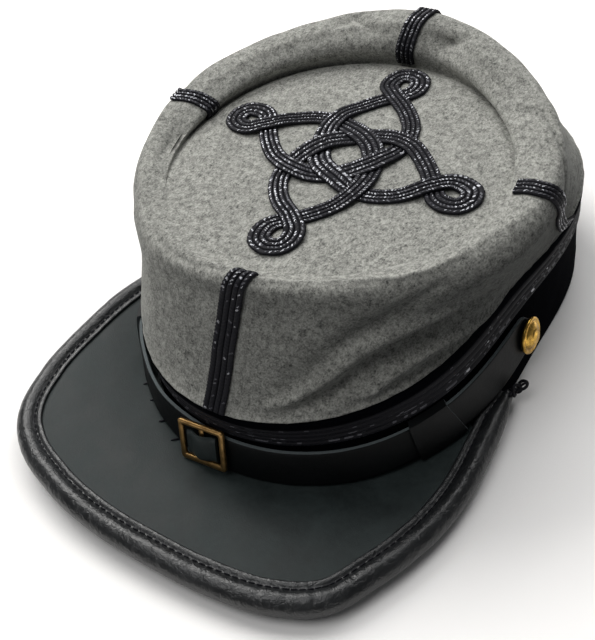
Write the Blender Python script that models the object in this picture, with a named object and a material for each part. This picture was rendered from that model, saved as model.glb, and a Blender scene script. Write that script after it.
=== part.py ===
"""Kepi cap: grey wool crown on a dark band, with a leather peak, chin strap, braid and two buttons.

Sizes are in millimetres and become metres when a mesh is made.
The wearer's left is +X, the front is -Y and the band's rim stands on z = 0.
Angles run from the front (0) by the wearer's left (90) and the back (180), in degrees.
"""
import math
from collections import namedtuple

import bmesh
import bpy
from mathutils import Vector

MM = 0.001

# ---------------------------------------------------------------- driving sizes
FRAME_SHIFT = (5.55, 21.84, 0.0)   # brings the middle of the whole cap's box over the origin
AROUND = 56                      # flat sides round the crown, the band and their trim
CLOTH = 1.8                      # wool with its backing
HEM = 2.5                        # the wall's turned edge that sits on the band
GAP = 0.4                        # room between pieces that touch

# Rings round the head. Reach from the middle at angle a:
# mean + egg cos a + length cos 2a + blunt cos 3a + square cos 4a
Ring = namedtuple("Ring", "mean egg length blunt square side height rise")
RIM_RING = Ring(94.1, -3.0, 14.9, -1.7, -1.6, -1.8, 0.0, 0.0)
SEAM_RING = Ring(90.6, -1.5, 18.4, 3.3, -0.6, -0.6, 45.4, 0.055)

# The sunken disc on top
DISC_SIDE = -0.3
DISC_BACK = -15.7
DISC_HEIGHT = 86.9
DISC_LEAN = 4.05                 # degrees, lower in front
DISC_DISH = 1.2

# The soft rim round the disc, and the wall under it
Rim = namedtuple("Rim", "angle disc_reach roll_width roll_height shoulder_out wall_swell")
RIM_TABLE = (
    Rim(0, 64.5, 8.2, 3.0, 3.3, -0.7),
    Rim(45, 64.6, 9.5, 3.0, 2.2, -0.2),
    Rim(90, 66.8, 14.2, 4.5, 2.8, 0.2),
    Rim(135, 64.3, 14.2, 8.5, 3.8, 0.0),
    Rim(180, 64.0, 14.3, 16.3, 2.8, 0.6),
    Rim(225, 63.9, 12.6, 12.6, 2.7, 0.3),
    Rim(270, 64.3, 13.6, 8.3, 1.0, 0.9),
    Rim(315, 65.3, 9.3, 1.2, 5.6, 2.6),
)
# Where the roll turns: under the crest, and out as a share of the shoulder's
SHOULDER_DROP = 9.0
TURN_DROP = 2.5
TURN_OUT = 0.45
# Its crest and its inner slope, as shares of the roll's width and height
CREST_ACROSS = 0.8
SLOPE_ACROSS = 0.30
SLOPE_UP = 0.82
# Folds and dents of the wall: middle, half spans, slope of the fold's line and push outwards
Fold = namedtuple("Fold", "angle level half_angle half_level slope push")
FOLD_TABLE = (
    Fold(42, 2.8, 22, 0.45, 0.030, 1.5),
    Fold(46, 2.15, 22, 0.42, 0.022, -2.3),
    Fold(48, 1.4, 14, 0.40, 0.0, 1.0),
    Fold(205, 6.6, 10, 0.9, 0.0, -1.6),
    Fold(168, 6.9, 8, 0.8, 0.0, -2.6),
    Fold(291, 7.1, 9, 0.7, 0.0, -1.8),
    Fold(338, 4.6, 16, 1.2, 0.0, 1.0),
    Fold(318, 3.0, 12, 1.5, 0.0, -1.2),
    Fold(120, 1.6, 18, 0.8, 0.0, 1.6),
    Fold(232, 2.2, 20, 1.0, 0.0, -1.6),
)

# Band and the flat braid round its top
BAND_WALL = 2.2
BAND_INSET = 1.6
TRIM_HEIGHT = 14.4
TRIM_THICK = 1.1

# Braid strips over the wall: angle at the seam, half way up, on the crest and at the inner end
Strip = namedtuple("Strip", "name foot middle crest end end_level width")
STRIP_TABLE = (
    Strip("strip_front", 2.2, 2.8, 5.6, 6.6, 6.5, 9.0),
    Strip("strip_left", 114.0, 100.0, 93.4, 94.0, 7.45, 7.4),
    Strip("strip_back", 180.0, 181.0, 182.2, 185.2, 7.8, 8.0),
    Strip("strip_right", 256.0, 264.0, 270.0, 267.3, 7.8, 7.2),
)
STRIP_THICK = 1.3
STRIP_LEVELS = (0.12, 1.0, 2.0, 3.0, 4.0, 4.7, 5.3, 5.8, 6.3, 6.9, 7.4)
CREST = 6.0                      # level of the rim's crest

# Knot on the disc: one quarter of the braid's line, from one curl's tip to the next
KNOT_MIDDLE = (2.6, -14.9)
KNOT_WIDTH = 7.4
KNOT_THICK = 1.2
KNOT_TURN = -2.2                 # degrees the whole knot is turned on the disc
KNOT_SKEW = 3.7                  # degrees its arms are drawn out of square
KNOT_STEPS = 40                  # along each quarter
KNOT_LIFTS = (0.0, 0.06, 0.03, 0.09)
Turn = namedtuple("Turn", "turn reach")
KNOT_TABLE = (
    Turn(0.0, 54.2), Turn(-4.6, 52.6), Turn(-7.0, 48.3), Turn(-6.4, 43.8), Turn(-2.0, 40.0),
    Turn(4.0, 36.8), Turn(17.0, 31.0), Turn(33.0, 25.6), Turn(52.0, 19.6), Turn(78.0, 13.6),
    Turn(110.0, 10.6), Turn(143.0, 10.2), Turn(172.0, 11.4), Turn(197.0, 14.4), Turn(218.0, 20.4),
    Turn(235.0, 26.6), Turn(251.0, 31.8), Turn(266.0, 36.8), Turn(272.0, 40.0), Turn(276.4, 43.8),
    Turn(277.0, 48.3), Turn(274.6, 52.6), Turn(270.0, 54.2),
)

# Peak: the outer line of its binding, seen from above, about a point behind the front
PEAK_MIDDLE_BACK = -60.0
Edge = namedtuple("Edge", "angle reach height")
EDGE_TABLE = (
    Edge(-114, 93.6, 9.0), Edge(-105, 95.8, 10.8), Edge(-90, 96.6, 13.0), Edge(-75, 99.5, 13.5),
    Edge(-60, 106.5, 13.5), Edge(-50, 111.0, 13.0), Edge(-42, 110.4, 12.0), Edge(-30, 104.6, 11.0),
    Edge(-15, 98.6, 10.0), Edge(0, 95.6, 9.5), Edge(15, 97.4, 9.0), Edge(30, 102.0, 9.0),
    Edge(40, 103.0, 9.0), Edge(50, 97.8, 9.0), Edge(60, 93.6, 9.0), Edge(75, 88.6, 9.0),
    Edge(90, 84.8, 9.0), Edge(105, 84.8, 9.0), Edge(112, 85.6, 9.0),
)
PEAK_THICK = 2.5
PEAK_FRONT_HEIGHT = 7.6          # top face where it meets the band in front
PEAK_SIDE_HEIGHT = 8.6
PEAK_ARCH = 0.024                # rise of its middle, as a share of its depth
PEAK_ENDS = (-99.0, 95.0)
BINDING_ENDS = (-113.0, 111.0)
BINDING_WIDTH = 10.5
BINDING_SLOT = 6.7
BINDING_STEPS = 54
BINDING_CLEAR = 0.8              # its room off the band where it runs beside it
BINDING_LEAST = 2.0              # its least width there
# Binding's section: inward from its outer line, and up from the peak's top face
Section = namedtuple("Section", "inward up")
BINDING_SECTION = (
    Section(10.5, 0.4), Section(10.3, 1.4), Section(7.8, 0.9), Section(5.6, 1.6), Section(2.6, 1.2),
    Section(0.5, -0.8), Section(0.0, -3.0), Section(1.2, -5.4), Section(4.2, -6.5), Section(7.2, -5.2),
    Section(9.8, -3.9), Section(9.8, -2.9), Section(BINDING_SLOT, -2.9), Section(BINDING_SLOT, 0.4),
)

# Chin strap: heights of its edges, and how far its outer face stands off the band
Strap = namedtuple("Strap", "angle top foot off_top off_foot")
STRAP_TABLE = (
    Strap(-92, 27.6, 11.6, 2.0, 2.0), Strap(-65, 28.0, 12.0, 4.2, 4.2), Strap(-50, 27.4, 11.8, 6.2, 5.6),
    Strap(-40, 26.7, 11.5, 6.8, 6.0), Strap(-27, 26.0, 10.6, 4.8, 6.0), Strap(-15, 25.2, 9.6, 4.2, 7.0),
    Strap(-6, 24.2, 9.0, 3.0, 8.0), Strap(4, 23.4, 9.0, 3.0, 8.0), Strap(15, 23.0, 9.2, 3.2, 7.6),
    Strap(28, 23.2, 9.8, 3.3, 6.4), Strap(46, 25.4, 11.4, 3.5, 3.9), Strap(70, 27.5, 11.4, 3.2, 3.2),
    Strap(88, 27.0, 10.8, 2.0, 2.0),
)
STRAP_THICK = 1.5
STRAP_ENDS = (-92.0, 88.0)
STRAP_STEPS = 52

# Keepers, buckle and buttons
Keeper = namedtuple("Keeper", "name front_top front_foot back_top back_foot")
KEEPER_TABLE = (
    Keeper("keeper_left", 39.5, 41.5, 49.0, 53.5),
    Keeper("keeper_right", -38.5, -38.5, -49.0, -49.0),
)
KEEPER_THICK = 0.9
BUCKLE_MIDDLE = (-4.9, -111.4, 18.2)
BUCKLE_SIZE = (21.0, 17.2)
BUCKLE_BAR = 2.7
BUCKLE_THICK = 1.6
BUCKLE_LEAN = 16.0
BUCKLE_ROLL = 7.0                # degrees, its top towards the wearer's right
BAR_WIDTH = 2.2                  # the bar across the buckle's back
BAR_FACES = (0.1, 1.15)
TAB_WIDTH = 10.0
TAB_THICK = 1.2
TAB_DROP = 0.6
# The tab's line over the bar: across the buckle, and out from the buckle's back
Hump = namedtuple("Hump", "across out")
TAB_TABLE = (
    Hump(-6.6, 0.15), Hump(-4.6, 0.25), Hump(-2.6, 1.1), Hump(-1.2, 1.62), Hump(0.0, 1.75), Hump(1.2, 1.62),
    Hump(2.6, 1.1), Hump(4.6, 0.25), Hump(6.6, 0.15),
)
Button = namedtuple("Button", "name angle height")
BUTTON_TABLE = (
    Button("button_left", 84.5, 18.4),
    Button("button_right", -88.0, 18.4),
)
BUTTON_RADIUS = 7.6
BUTTON_STAND = 0.5               # its back off the strap
BUTTON_SIDES = 20
# Half of the button's section: share of its radius, and out from its back
Dome = namedtuple("Dome", "share out")
DOME_TABLE = (
    Dome(0.55, 0.0), Dome(0.94, 0.3), Dome(1.0, 1.0), Dome(0.98, 1.7), Dome(0.88, 2.0), Dome(0.82, 1.8),
    Dome(0.55, 3.2), Dome(0.28, 4.0), Dome(0.0, 4.2),
)

# Colours and surfaces
WOOL = (0.20, 0.20, 0.185)
BAND_CLOTH = (0.008, 0.009, 0.012)
BRAID = (0.012, 0.012, 0.018)
PEAK_LEATHER = (0.022, 0.028, 0.028)
TRIM_LEATHER = (0.011, 0.012, 0.013)
AGED_BRASS = (0.30, 0.17, 0.06)
GILT = (0.62, 0.40, 0.10)


# ---------------------------------------------------------------- small helpers
def rad(degrees):
    return math.radians(degrees)


def curve4(before, start, end, after, part):
    """A smooth curve through four values, between the middle two."""
    square = part * part
    cube = square * part
    return 0.5 * (2 * start + (end - before) * part
                  + (2 * before - 5 * start + 4 * end - after) * square
                  + (3 * start - before - 3 * end + after) * cube)


def round_table(table, column, angle):
    """A column of an evenly spaced table that closes on itself."""
    count = len(table)
    place = (angle % 360.0) / 360.0 * count
    row = int(place)
    values = [getattr(table[(row + step) % count], column) for step in (-1, 0, 1, 2)]
    return curve4(*values, place - row)


def open_table(table, key, column, at):
    """A column of a table with rising keys, held at its ends."""
    last = len(table) - 1
    row = 0
    while row < last - 1 and getattr(table[row + 1], key) <= at:
        row += 1
    low = getattr(table[row], key)
    high = getattr(table[row + 1], key)
    part = min(max((at - low) / (high - low), 0.0), 1.0)
    rows = (max(row - 1, 0), row, row + 1, min(row + 2, last))
    return curve4(*[getattr(table[i], column) for i in rows], part)


def outward(angle):
    return Vector((math.sin(rad(angle)), -math.cos(rad(angle)), 0.0))


def to_metres(point):
    return (Vector(point) + Vector(FRAME_SHIFT)) * MM


def make_object(name, mesh_bm, colour, roughness, metallic=0.0, sharp=40.0):
    """Turn a bmesh into a named object with its own material."""
    bmesh.ops.recalc_face_normals(mesh_bm, faces=mesh_bm.faces)
    mesh = bpy.data.meshes.new(name)
    mesh_bm.to_mesh(mesh)
    mesh_bm.free()
    mesh.shade_smooth()
    mesh.set_sharp_from_angle(angle=rad(sharp))
    material = bpy.data.materials.new(name)
    material.use_nodes = True
    shader = material.node_tree.nodes["Principled BSDF"]
    shader.inputs["Base Color"].default_value = (*colour, 1.0)
    shader.inputs["Roughness"].default_value = roughness
    shader.inputs["Metallic"].default_value = metallic
    mesh.materials.append(material)
    thing = bpy.data.objects.new(name, mesh)
    bpy.context.collection.objects.link(thing)
    return thing


def loops_to_bmesh(loops, closed):
    """Join loops of points, each to the next. closed joins the last to the first, else both get a cap."""
    mesh_bm = bmesh.new()
    rows = [[mesh_bm.verts.new(to_metres(point)) for point in loop] for loop in loops]
    size = len(rows[0])
    pairs = list(zip(rows, rows[1:]))
    if closed:
        pairs.append((rows[-1], rows[0]))
    for near, far in pairs:
        for i in range(size):
            j = (i + 1) % size
            mesh_bm.faces.new((near[i], near[j], far[j], far[i]))
    if not closed:
        mesh_bm.faces.new(rows[0])
        mesh_bm.faces.new(rows[-1])
    return mesh_bm


# ---------------------------------------------------------------- the cap's surfaces
def ring_reach(ring, angle):
    turn = rad(angle)
    return (ring.mean + ring.egg * math.cos(turn) + ring.length * math.cos(2 * turn)
            + ring.blunt * math.cos(3 * turn) + ring.square * math.cos(4 * turn))


def ring_point(ring, angle):
    point = outward(angle) * ring_reach(ring, angle) + Vector((ring.side, 0.0, 0.0))
    point.z = ring.height + ring.rise * point.y
    return point


def disc_height(x, y):
    reach = math.hypot(x - DISC_SIDE, y - DISC_BACK)
    dish = DISC_DISH * (1.0 - min(reach / 64.0, 1.0) ** 2)
    return DISC_HEIGHT + math.tan(rad(DISC_LEAN)) * (y - DISC_BACK) - dish


def rim_point(angle, reach, lift):
    """A point about the disc's middle, lifted from the disc's plane."""
    point = outward(angle) * reach + Vector((DISC_SIDE, DISC_BACK, 0.0))
    point.z = DISC_HEIGHT + math.tan(rad(DISC_LEAN)) * (point.y - DISC_BACK) + lift
    return point


def wall_stations(angle):
    """The wall's outline at one angle, from the seam over the rim to the disc's edge."""
    disc = round_table(RIM_TABLE, "disc_reach", angle)
    width = round_table(RIM_TABLE, "roll_width", angle)
    height = round_table(RIM_TABLE, "roll_height", angle)
    out = round_table(RIM_TABLE, "shoulder_out", angle)
    swell = round_table(RIM_TABLE, "wall_swell", angle)
    seam = ring_point(SEAM_RING, angle)
    shoulder = rim_point(angle, disc + width + out, height - SHOULDER_DROP)
    away = outward(angle)
    wall = [seam.lerp(shoulder, part) + away * swell * share
            for part, share in ((0.12, 0.9), (0.35, 1.0), (0.70, 0.5))]
    return [seam] + wall + [
        shoulder,
        rim_point(angle, disc + width + TURN_OUT * out, height - TURN_DROP),
        rim_point(angle, disc + CREST_ACROSS * width, height),
        rim_point(angle, disc + SLOPE_ACROSS * width, SLOPE_UP * height),
        rim_point(angle, disc, 0.0),
    ]


def fold_push(angle, level):
    push = 0.0
    for fold in FOLD_TABLE:
        turn = (angle - fold.angle + 180.0) % 360.0 - 180.0
        rise = level - fold.level - fold.slope * turn
        push += fold.push * math.exp(-(turn / fold.half_angle) ** 2 - (rise / fold.half_level) ** 2)
    return push


def wall_plain(angle, level):
    """Outer face of the wall: level 0 is the seam, 6 the rim's crest and 8 the disc's edge."""
    stations = wall_stations(angle)
    last = len(stations) - 1
    row = min(int(level), last - 1)
    rows = (max(row - 1, 0), row, row + 1, min(row + 2, last))
    return curve4(*[stations[i] for i in rows], level - row)


def wall_normal(angle, level):
    low = max(level - 0.15, 0.0)
    high = min(level + 0.15, 8.0)
    along = wall_plain(angle + 1.0, level) - wall_plain(angle - 1.0, level)
    up = wall_plain(angle, high) - wall_plain(angle, low)
    return along.cross(up).normalized()


def wall_point(angle, level, depth=0.0):
    """A point of the folded wall, sunk below its outer face by depth."""
    fade = min(level, 8.0 - level, 1.0)
    normal = wall_normal(angle, level)
    return wall_plain(angle, level) + normal * (fold_push(angle, level) * fade - depth)


def band_point(angle, height, off=0.0):
    """A point on the band's outer face, or standing off it."""
    seam = ring_point(SEAM_RING, angle)
    top = seam - outward(angle) * BAND_INSET
    foot = ring_point(RIM_RING, angle)
    part = height / top.z
    return foot.lerp(top, part) + outward(angle) * off


def band_angle(point):
    """The angle at which a point stands beside the band."""
    return math.degrees(math.atan2(point.x - RIM_RING.side, -point.y))


def band_room(point):
    """How far a point stands outside the band's face."""
    angle = band_angle(point)
    face = band_point(angle, point.z)
    side = Vector((RIM_RING.side, 0.0, 0.0))
    return (point - side).xy.length - (face - side).xy.length


# ---------------------------------------------------------------- cloth pieces
def angles_around():
    return [360.0 * i / AROUND for i in range(AROUND)]


def crown_wall():
    outer = (0.0, 0.5, 1.0, 2.0, 2.6, 3.2, 4.0, 4.6, 5.2, 5.7, 6.2, 6.8, 7.4, 8.0)
    inner = (8.0, 7.2, 6.4, 5.7, 5.0, 4.0, 2.8, 1.5, 0.5)
    loops = []
    for angle in angles_around():
        loop = [wall_point(angle, level) for level in outer]
        loop += [wall_point(angle, level, CLOTH) for level in inner]
        loop.append(wall_plain(angle, 0.0) - outward(angle) * HEM)
        loops.append(loop)
    return make_object("crown_wall", loops_to_bmesh(loops, True), WOOL, 0.95, sharp=60)


def crown_top():
    mesh_bm = bmesh.new()
    rows = []
    for share, depth in ((0.35, 0.0), (0.72, 0.0), (1.0, 0.0), (1.0, CLOTH), (0.72, CLOTH), (0.35, CLOTH)):
        row = []
        for angle in angles_around():
            reach = (wall_point(angle, 8.0) - Vector((DISC_SIDE, DISC_BACK, 0.0))).xy.length - GAP
            point = outward(angle) * reach * share + Vector((DISC_SIDE, DISC_BACK, 0.0))
            point.z = disc_height(point.x, point.y) - depth
            row.append(mesh_bm.verts.new(to_metres(point)))
        rows.append(row)
    for near, far in zip(rows, rows[1:]):
        for i in range(AROUND):
            j = (i + 1) % AROUND
            mesh_bm.faces.new((near[i], near[j], far[j], far[i]))
    for row, depth in ((rows[0], 0.0), (rows[-1], CLOTH)):
        middle = (DISC_SIDE, DISC_BACK, disc_height(DISC_SIDE, DISC_BACK) - depth)
        hub = mesh_bm.verts.new(to_metres(middle))
        for i in range(AROUND):
            mesh_bm.faces.new((row[i], row[(i + 1) % AROUND], hub))
    return make_object("crown_top", mesh_bm, WOOL, 0.95)


def band():
    loops = []
    for angle in angles_around():
        top = ring_point(SEAM_RING, angle).z - GAP
        loop = [band_point(angle, height) for height in (0.0, 0.34 * top, 0.67 * top, top)]
        loop += [band_point(angle, height, -BAND_WALL) for height in (top, 0.5 * top, 0.0)]
        loops.append(loop)
    return make_object("band", loops_to_bmesh(loops, True), BAND_CLOTH, 0.9)


def band_braid():
    section = ((0.0, 0.0), (0.0, 0.8), (0.18, 1.0), (0.37, 0.5), (0.68, 1.0), (1.0, 0.8), (1.0, 0.0))
    loops = []
    for angle in angles_around():
        top = ring_point(SEAM_RING, angle).z - GAP
        loop = [band_point(angle, top - TRIM_HEIGHT * down, GAP + TRIM_THICK * out)
                for down, out in section]
        loops.append(loop)
    return make_object("band_braid", loops_to_bmesh(loops, True), BRAID, 0.6)


# ---------------------------------------------------------------- braid on the crown
def flat_braid(middle, side, normal, width, thick, bottom):
    """Section of a flat braid made of two cords laid side by side."""
    half = width / 2.0
    section = ((-half, 0.0), (half, 0.0), (half, 0.6), (half * 0.5, 1.0), (0.0, 0.55),
               (-half * 0.5, 1.0), (-half, 0.6))
    return [middle + side * across + normal * (bottom + thick * up) for across, up in section]


def strip_angle(row, level):
    """A strip's angle: one curve up to the crest, then straight to its inner end."""
    if level > CREST:
        return row.crest + (row.end - row.crest) * (level - CREST) / (row.end_level - CREST)
    part = level / CREST
    return (row.foot * (1.0 - part) * (1.0 - 2.0 * part) + row.middle * 4.0 * part * (1.0 - part)
            + row.crest * part * (2.0 * part - 1.0))


def strip(row):
    loops = []
    for level in [level for level in STRIP_LEVELS if level < row.end_level] + [row.end_level]:
        angle = strip_angle(row, level)
        side = (wall_point(angle + 2.0, level) - wall_point(angle - 2.0, level)).normalized()
        loops.append(flat_braid(wall_point(angle, level), side, wall_normal(angle, level), row.width,
                                STRIP_THICK, GAP + 0.2))
    return make_object(row.name, loops_to_bmesh(loops, False), BRAID, 0.6)


def knot_line(steps):
    """Points of a quarter of the knot's line, in the disc's plan, turning about its middle."""
    last = len(KNOT_TABLE) - 1
    line = []
    for step in range(steps + 1):
        place = last * step / steps
        row = min(int(place), last - 1)
        rows = (max(row - 1, 0), row, row + 1, min(row + 2, last))
        turn = curve4(*[KNOT_TABLE[i].turn for i in rows], place - row)
        reach = curve4(*[KNOT_TABLE[i].reach for i in rows], place - row)
        line.append((turn, reach))
    return line


def knot_quarter(start, lift):
    spread = Vector((KNOT_MIDDLE[0], KNOT_MIDDLE[1], 0.0))
    middles = []
    for turn, reach in knot_line(KNOT_STEPS):
        angle = start + turn
        angle += KNOT_TURN + KNOT_SKEW * math.cos(2.0 * rad(angle))
        middles.append(outward(angle) * reach + spread)
    up = Vector((0.0, -math.sin(rad(DISC_LEAN)), math.cos(rad(DISC_LEAN))))
    loops = []
    for i, middle in enumerate(middles):
        before = middles[max(i - 1, 0)]
        after = middles[min(i + 1, len(middles) - 1)]
        along = (after - before).normalized()
        side = along.cross(Vector((0.0, 0.0, 1.0))).normalized()
        loop = []
        half = KNOT_WIDTH / 2.0
        for across, rise in ((-half, 0.0), (half, 0.0), (0.8 * half, 1.0), (0.0, 0.7), (-0.8 * half, 1.0)):
            point = middle + side * across
            point.z = disc_height(point.x, point.y)
            loop.append(point + up * (GAP + lift + KNOT_THICK * rise))
        loops.append(loop)
    return loops_to_bmesh(loops, False)


def top_knot():
    """Four quarters of the braid, fused where they cross."""
    knot = make_object("top_knot", knot_quarter(0.0, KNOT_LIFTS[0]), BRAID, 0.6)
    for number in (1, 2, 3):
        quarter = knot_quarter(90.0 * number, KNOT_LIFTS[number])
        cutter = make_object("knot_quarter_%d" % number, quarter, BRAID, 0.6)
        cutter.hide_render = True
        cutter.display_type = 'WIRE'
        fuse = knot.modifiers.new("fuse_%d" % number, 'BOOLEAN')
        fuse.operation = 'UNION'
        fuse.solver = 'EXACT'
        fuse.object = cutter
    return knot


# ---------------------------------------------------------------- peak
def edge_line(angle):
    reach = open_table(EDGE_TABLE, "angle", "reach", angle)
    return outward(angle) * reach + Vector((0.0, PEAK_MIDDLE_BACK, 0.0))


def peak_seam(point, depth=0.0):
    """Where the peak meets the band beside a point, depth below its top face."""
    beside = band_angle(point)
    front = max(math.cos(rad(beside)), 0.0)
    height = PEAK_SIDE_HEIGHT + (PEAK_FRONT_HEIGHT - PEAK_SIDE_HEIGHT) * front
    return band_point(beside, height - depth, GAP + 0.2)


def edge_point(angle, inward=0.0, up=0.0):
    """A point beside the binding's outer line, moved inwards along the leather and up."""
    here = edge_line(angle)
    height = open_table(EDGE_TABLE, "angle", "height", angle)
    along = (edge_line(angle + 0.5) - edge_line(angle - 0.5)).normalized()
    inner = Vector((0.0, 0.0, 1.0)).cross(along)
    seam = peak_seam(here)
    slope = (height - seam.z) / (here - seam).xy.length
    return here + inner * inward + Vector((0.0, 0.0, height + up - slope * inward))


def binding_angles():
    """Angles along the binding, spaced evenly along its length."""
    first, last = BINDING_ENDS
    steps = BINDING_STEPS
    fine = [first + (last - first) * i / 400.0 for i in range(401)]
    points = [edge_point(angle) for angle in fine]
    length = [0.0]
    for near, far in zip(points, points[1:]):
        length.append(length[-1] + (far - near).length)
    result = []
    for i in range(steps + 1):
        aim = length[-1] * i / steps
        at = next((k for k in range(401) if length[k] >= aim - 1e-9), 400)
        result.append(fine[at])
    return result


def peak():
    loops = []
    first, last = PEAK_ENDS
    for angle in [angle for angle in binding_angles() if first < angle < last]:
        faces = []
        for depth in (0.0, PEAK_THICK):
            edge = edge_point(angle, BINDING_SLOT + GAP, -depth)
            seam = peak_seam(edge, depth)
            arch = 4.0 * PEAK_ARCH * (edge - seam).length
            face = []
            for part in (0.0, 0.3, 0.6, 1.0):
                point = seam.lerp(edge, part)
                point.z += arch * part * (1.0 - part)
                face.append(point)
            faces.append(face)
        loops.append(faces[0] + faces[1][::-1])
    return make_object("peak", loops_to_bmesh(loops, False), PEAK_LEATHER, 0.45)


def peak_binding():
    loops = []
    for angle in binding_angles():
        room = band_room(edge_point(angle)) - BINDING_CLEAR
        scale = min(1.0, max(room, BINDING_LEAST) / BINDING_WIDTH)
        low = max(scale, 0.6)
        loops.append([edge_point(angle, row.inward * scale, row.up * low) for row in BINDING_SECTION])
    return make_object("peak_binding", loops_to_bmesh(loops, False), TRIM_LEATHER, 0.38)


# ---------------------------------------------------------------- strap and fittings
def strap_height(angle):
    return open_table(STRAP_TABLE, "angle", "top", angle) - open_table(STRAP_TABLE, "angle", "foot", angle)


def strap_point(angle, share, off=0.0):
    """A point on the strap's outer face: share 0 is its foot, 1 its top edge."""
    top = open_table(STRAP_TABLE, "angle", "top", angle)
    foot = open_table(STRAP_TABLE, "angle", "foot", angle)
    off_top = open_table(STRAP_TABLE, "angle", "off_top", angle)
    off_foot = open_table(STRAP_TABLE, "angle", "off_foot", angle)
    height = foot + (top - foot) * share
    return band_point(angle, height, off_foot + (off_top - off_foot) * share + off)


def chin_strap():
    first, last = STRAP_ENDS
    loops = []
    for i in range(STRAP_STEPS + 1):
        angle = first + (last - first) * i / STRAP_STEPS
        from_end = min(i, STRAP_STEPS - i) / 2.0
        half = 0.5 if from_end >= 1.0 else 0.5 * math.sqrt(1.0 - (1.0 - max(from_end, 0.12)) ** 2)
        loop = [strap_point(angle, share) for share in (0.5 - half, 0.5, 0.5 + half)]
        loop += [strap_point(angle, share, -STRAP_THICK) for share in (0.5 + half, 0.5, 0.5 - half)]
        loops.append(loop)
    return make_object("chin_strap", loops_to_bmesh(loops, False), TRIM_LEATHER, 0.42)


def keeper_section(clear):
    """Share of the strap's height and stand-off of a loop that clears the strap by clear."""
    def section(tall):
        over = clear / tall
        back = -STRAP_THICK - clear
        return ((-over, clear), (0.5, clear + 0.15), (1.0 + over, clear), (1.0 + over, back), (-over, back))
    return section


def keeper(row):
    """A flat leather loop round the strap, its back edge cut on a slant."""
    mesh_bm = bmesh.new()
    rows = []
    for k in range(5):
        top_angle = row.front_top + (row.back_top - row.front_top) * k / 4.0
        foot_angle = row.front_foot + (row.back_foot - row.front_foot) * k / 4.0
        tall = strap_height((top_angle + foot_angle) / 2.0)
        pair = []
        for clear in (GAP + KEEPER_THICK, GAP):
            ring = []
            for share, off in keeper_section(clear)(tall):
                angle = foot_angle + (top_angle - foot_angle) * share
                ring.append(mesh_bm.verts.new(to_metres(strap_point(angle, share, off))))
            pair.append(ring)
        rows.append(pair)
    size = len(rows[0][0])
    for near, far in zip(rows, rows[1:]):
        for ring in (0, 1):
            for i in range(size):
                j = (i + 1) % size
                mesh_bm.faces.new((near[ring][i], near[ring][j], far[ring][j], far[ring][i]))
    for outer, hole in (rows[0], rows[-1]):
        for i in range(size):
            j = (i + 1) % size
            mesh_bm.faces.new((outer[i], outer[j], hole[j], hole[i]))
    return make_object(row.name, mesh_bm, TRIM_LEATHER, 0.45)


def buckle_place(across, up, out):
    """A point in the buckle's own plane, out from its back face."""
    lean = rad(BUCKLE_LEAN)
    middle = Vector(BUCKLE_MIDDLE)
    rise = Vector((0.0, math.sin(lean), math.cos(lean)))
    away = Vector((0.0, -math.cos(lean), math.sin(lean)))
    roll = rad(BUCKLE_ROLL)
    side = across * math.cos(roll) - up * math.sin(roll)
    up = across * math.sin(roll) + up * math.cos(roll)
    return middle + Vector((side, 0.0, 0.0)) + rise * up + away * out


def box_between(low, high):
    corners = [(low[0], low[1]), (high[0], low[1]), (high[0], high[1]), (low[0], high[1])]
    return [[buckle_place(x, z, out) for x, z in corners] for out in (low[2], high[2])]


def buckle():
    """A rectangular frame with rounded corners, and the bar across its back that the tab holds."""
    wide, tall = BUCKLE_SIZE[0] / 2.0, BUCKLE_SIZE[1] / 2.0
    outer = []
    hole = []
    for corner, (sx, sz) in enumerate(((1, 1), (-1, 1), (-1, -1), (1, -1))):
        for k in range(3):
            turn = rad(90.0 * corner + 45.0 * k)
            outer.append((sx * (wide - 1.2) + 1.2 * math.cos(turn), sz * (tall - 1.2) + 1.2 * math.sin(turn)))
            hole.append((sx * (wide - BUCKLE_BAR - 0.5) + 0.5 * math.cos(turn),
                         sz * (tall - BUCKLE_BAR - 0.5) + 0.5 * math.sin(turn)))
    mesh_bm = bmesh.new()
    rings = []
    bevel = [(x * (1.0 - 0.5 / wide), z * (1.0 - 0.5 / tall)) for x, z in outer]
    levels = ((outer, 0.0), (outer, BUCKLE_THICK - 0.4), (bevel, BUCKLE_THICK),
              (hole, BUCKLE_THICK - 0.2), (hole, 0.0))
    for line, out in levels:
        rings.append([mesh_bm.verts.new(to_metres(buckle_place(x, z, out))) for x, z in line])
    size = len(outer)
    for near, far in zip(rings, rings[1:] + rings[:1]):
        for i in range(size):
            j = (i + 1) % size
            mesh_bm.faces.new((near[i], near[j], far[j], far[i]))
    frame = make_object("buckle", mesh_bm, AGED_BRASS, 0.38, 1.0, sharp=35)
    low, high = BAR_FACES
    ends = box_between((-BAR_WIDTH / 2.0, 1.0 - tall, low), (BAR_WIDTH / 2.0, tall - 1.0, high))
    bar = make_object("buckle_bar", loops_to_bmesh(ends, False), AGED_BRASS, 0.38, 1.0)
    bar.hide_render = True
    bar.display_type = 'WIRE'
    fuse = frame.modifiers.new("bar", 'BOOLEAN')
    fuse.operation = 'UNION'
    fuse.solver = 'EXACT'
    fuse.object = bar
    return frame


def buckle_tab():
    """The narrow leather tab that humps over the buckle's bar."""
    low = -TAB_WIDTH / 2.0 - TAB_DROP
    high = TAB_WIDTH / 2.0 - TAB_DROP
    loops = []
    for row in TAB_TABLE:
        corners = ((low, 0.0), (low, TAB_THICK), (high, TAB_THICK), (high, 0.0))
        loops.append([buckle_place(row.across, up, row.out + out) for up, out in corners])
    return make_object("buckle_tab", loops_to_bmesh(loops, False), PEAK_LEATHER, 0.4)


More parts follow.
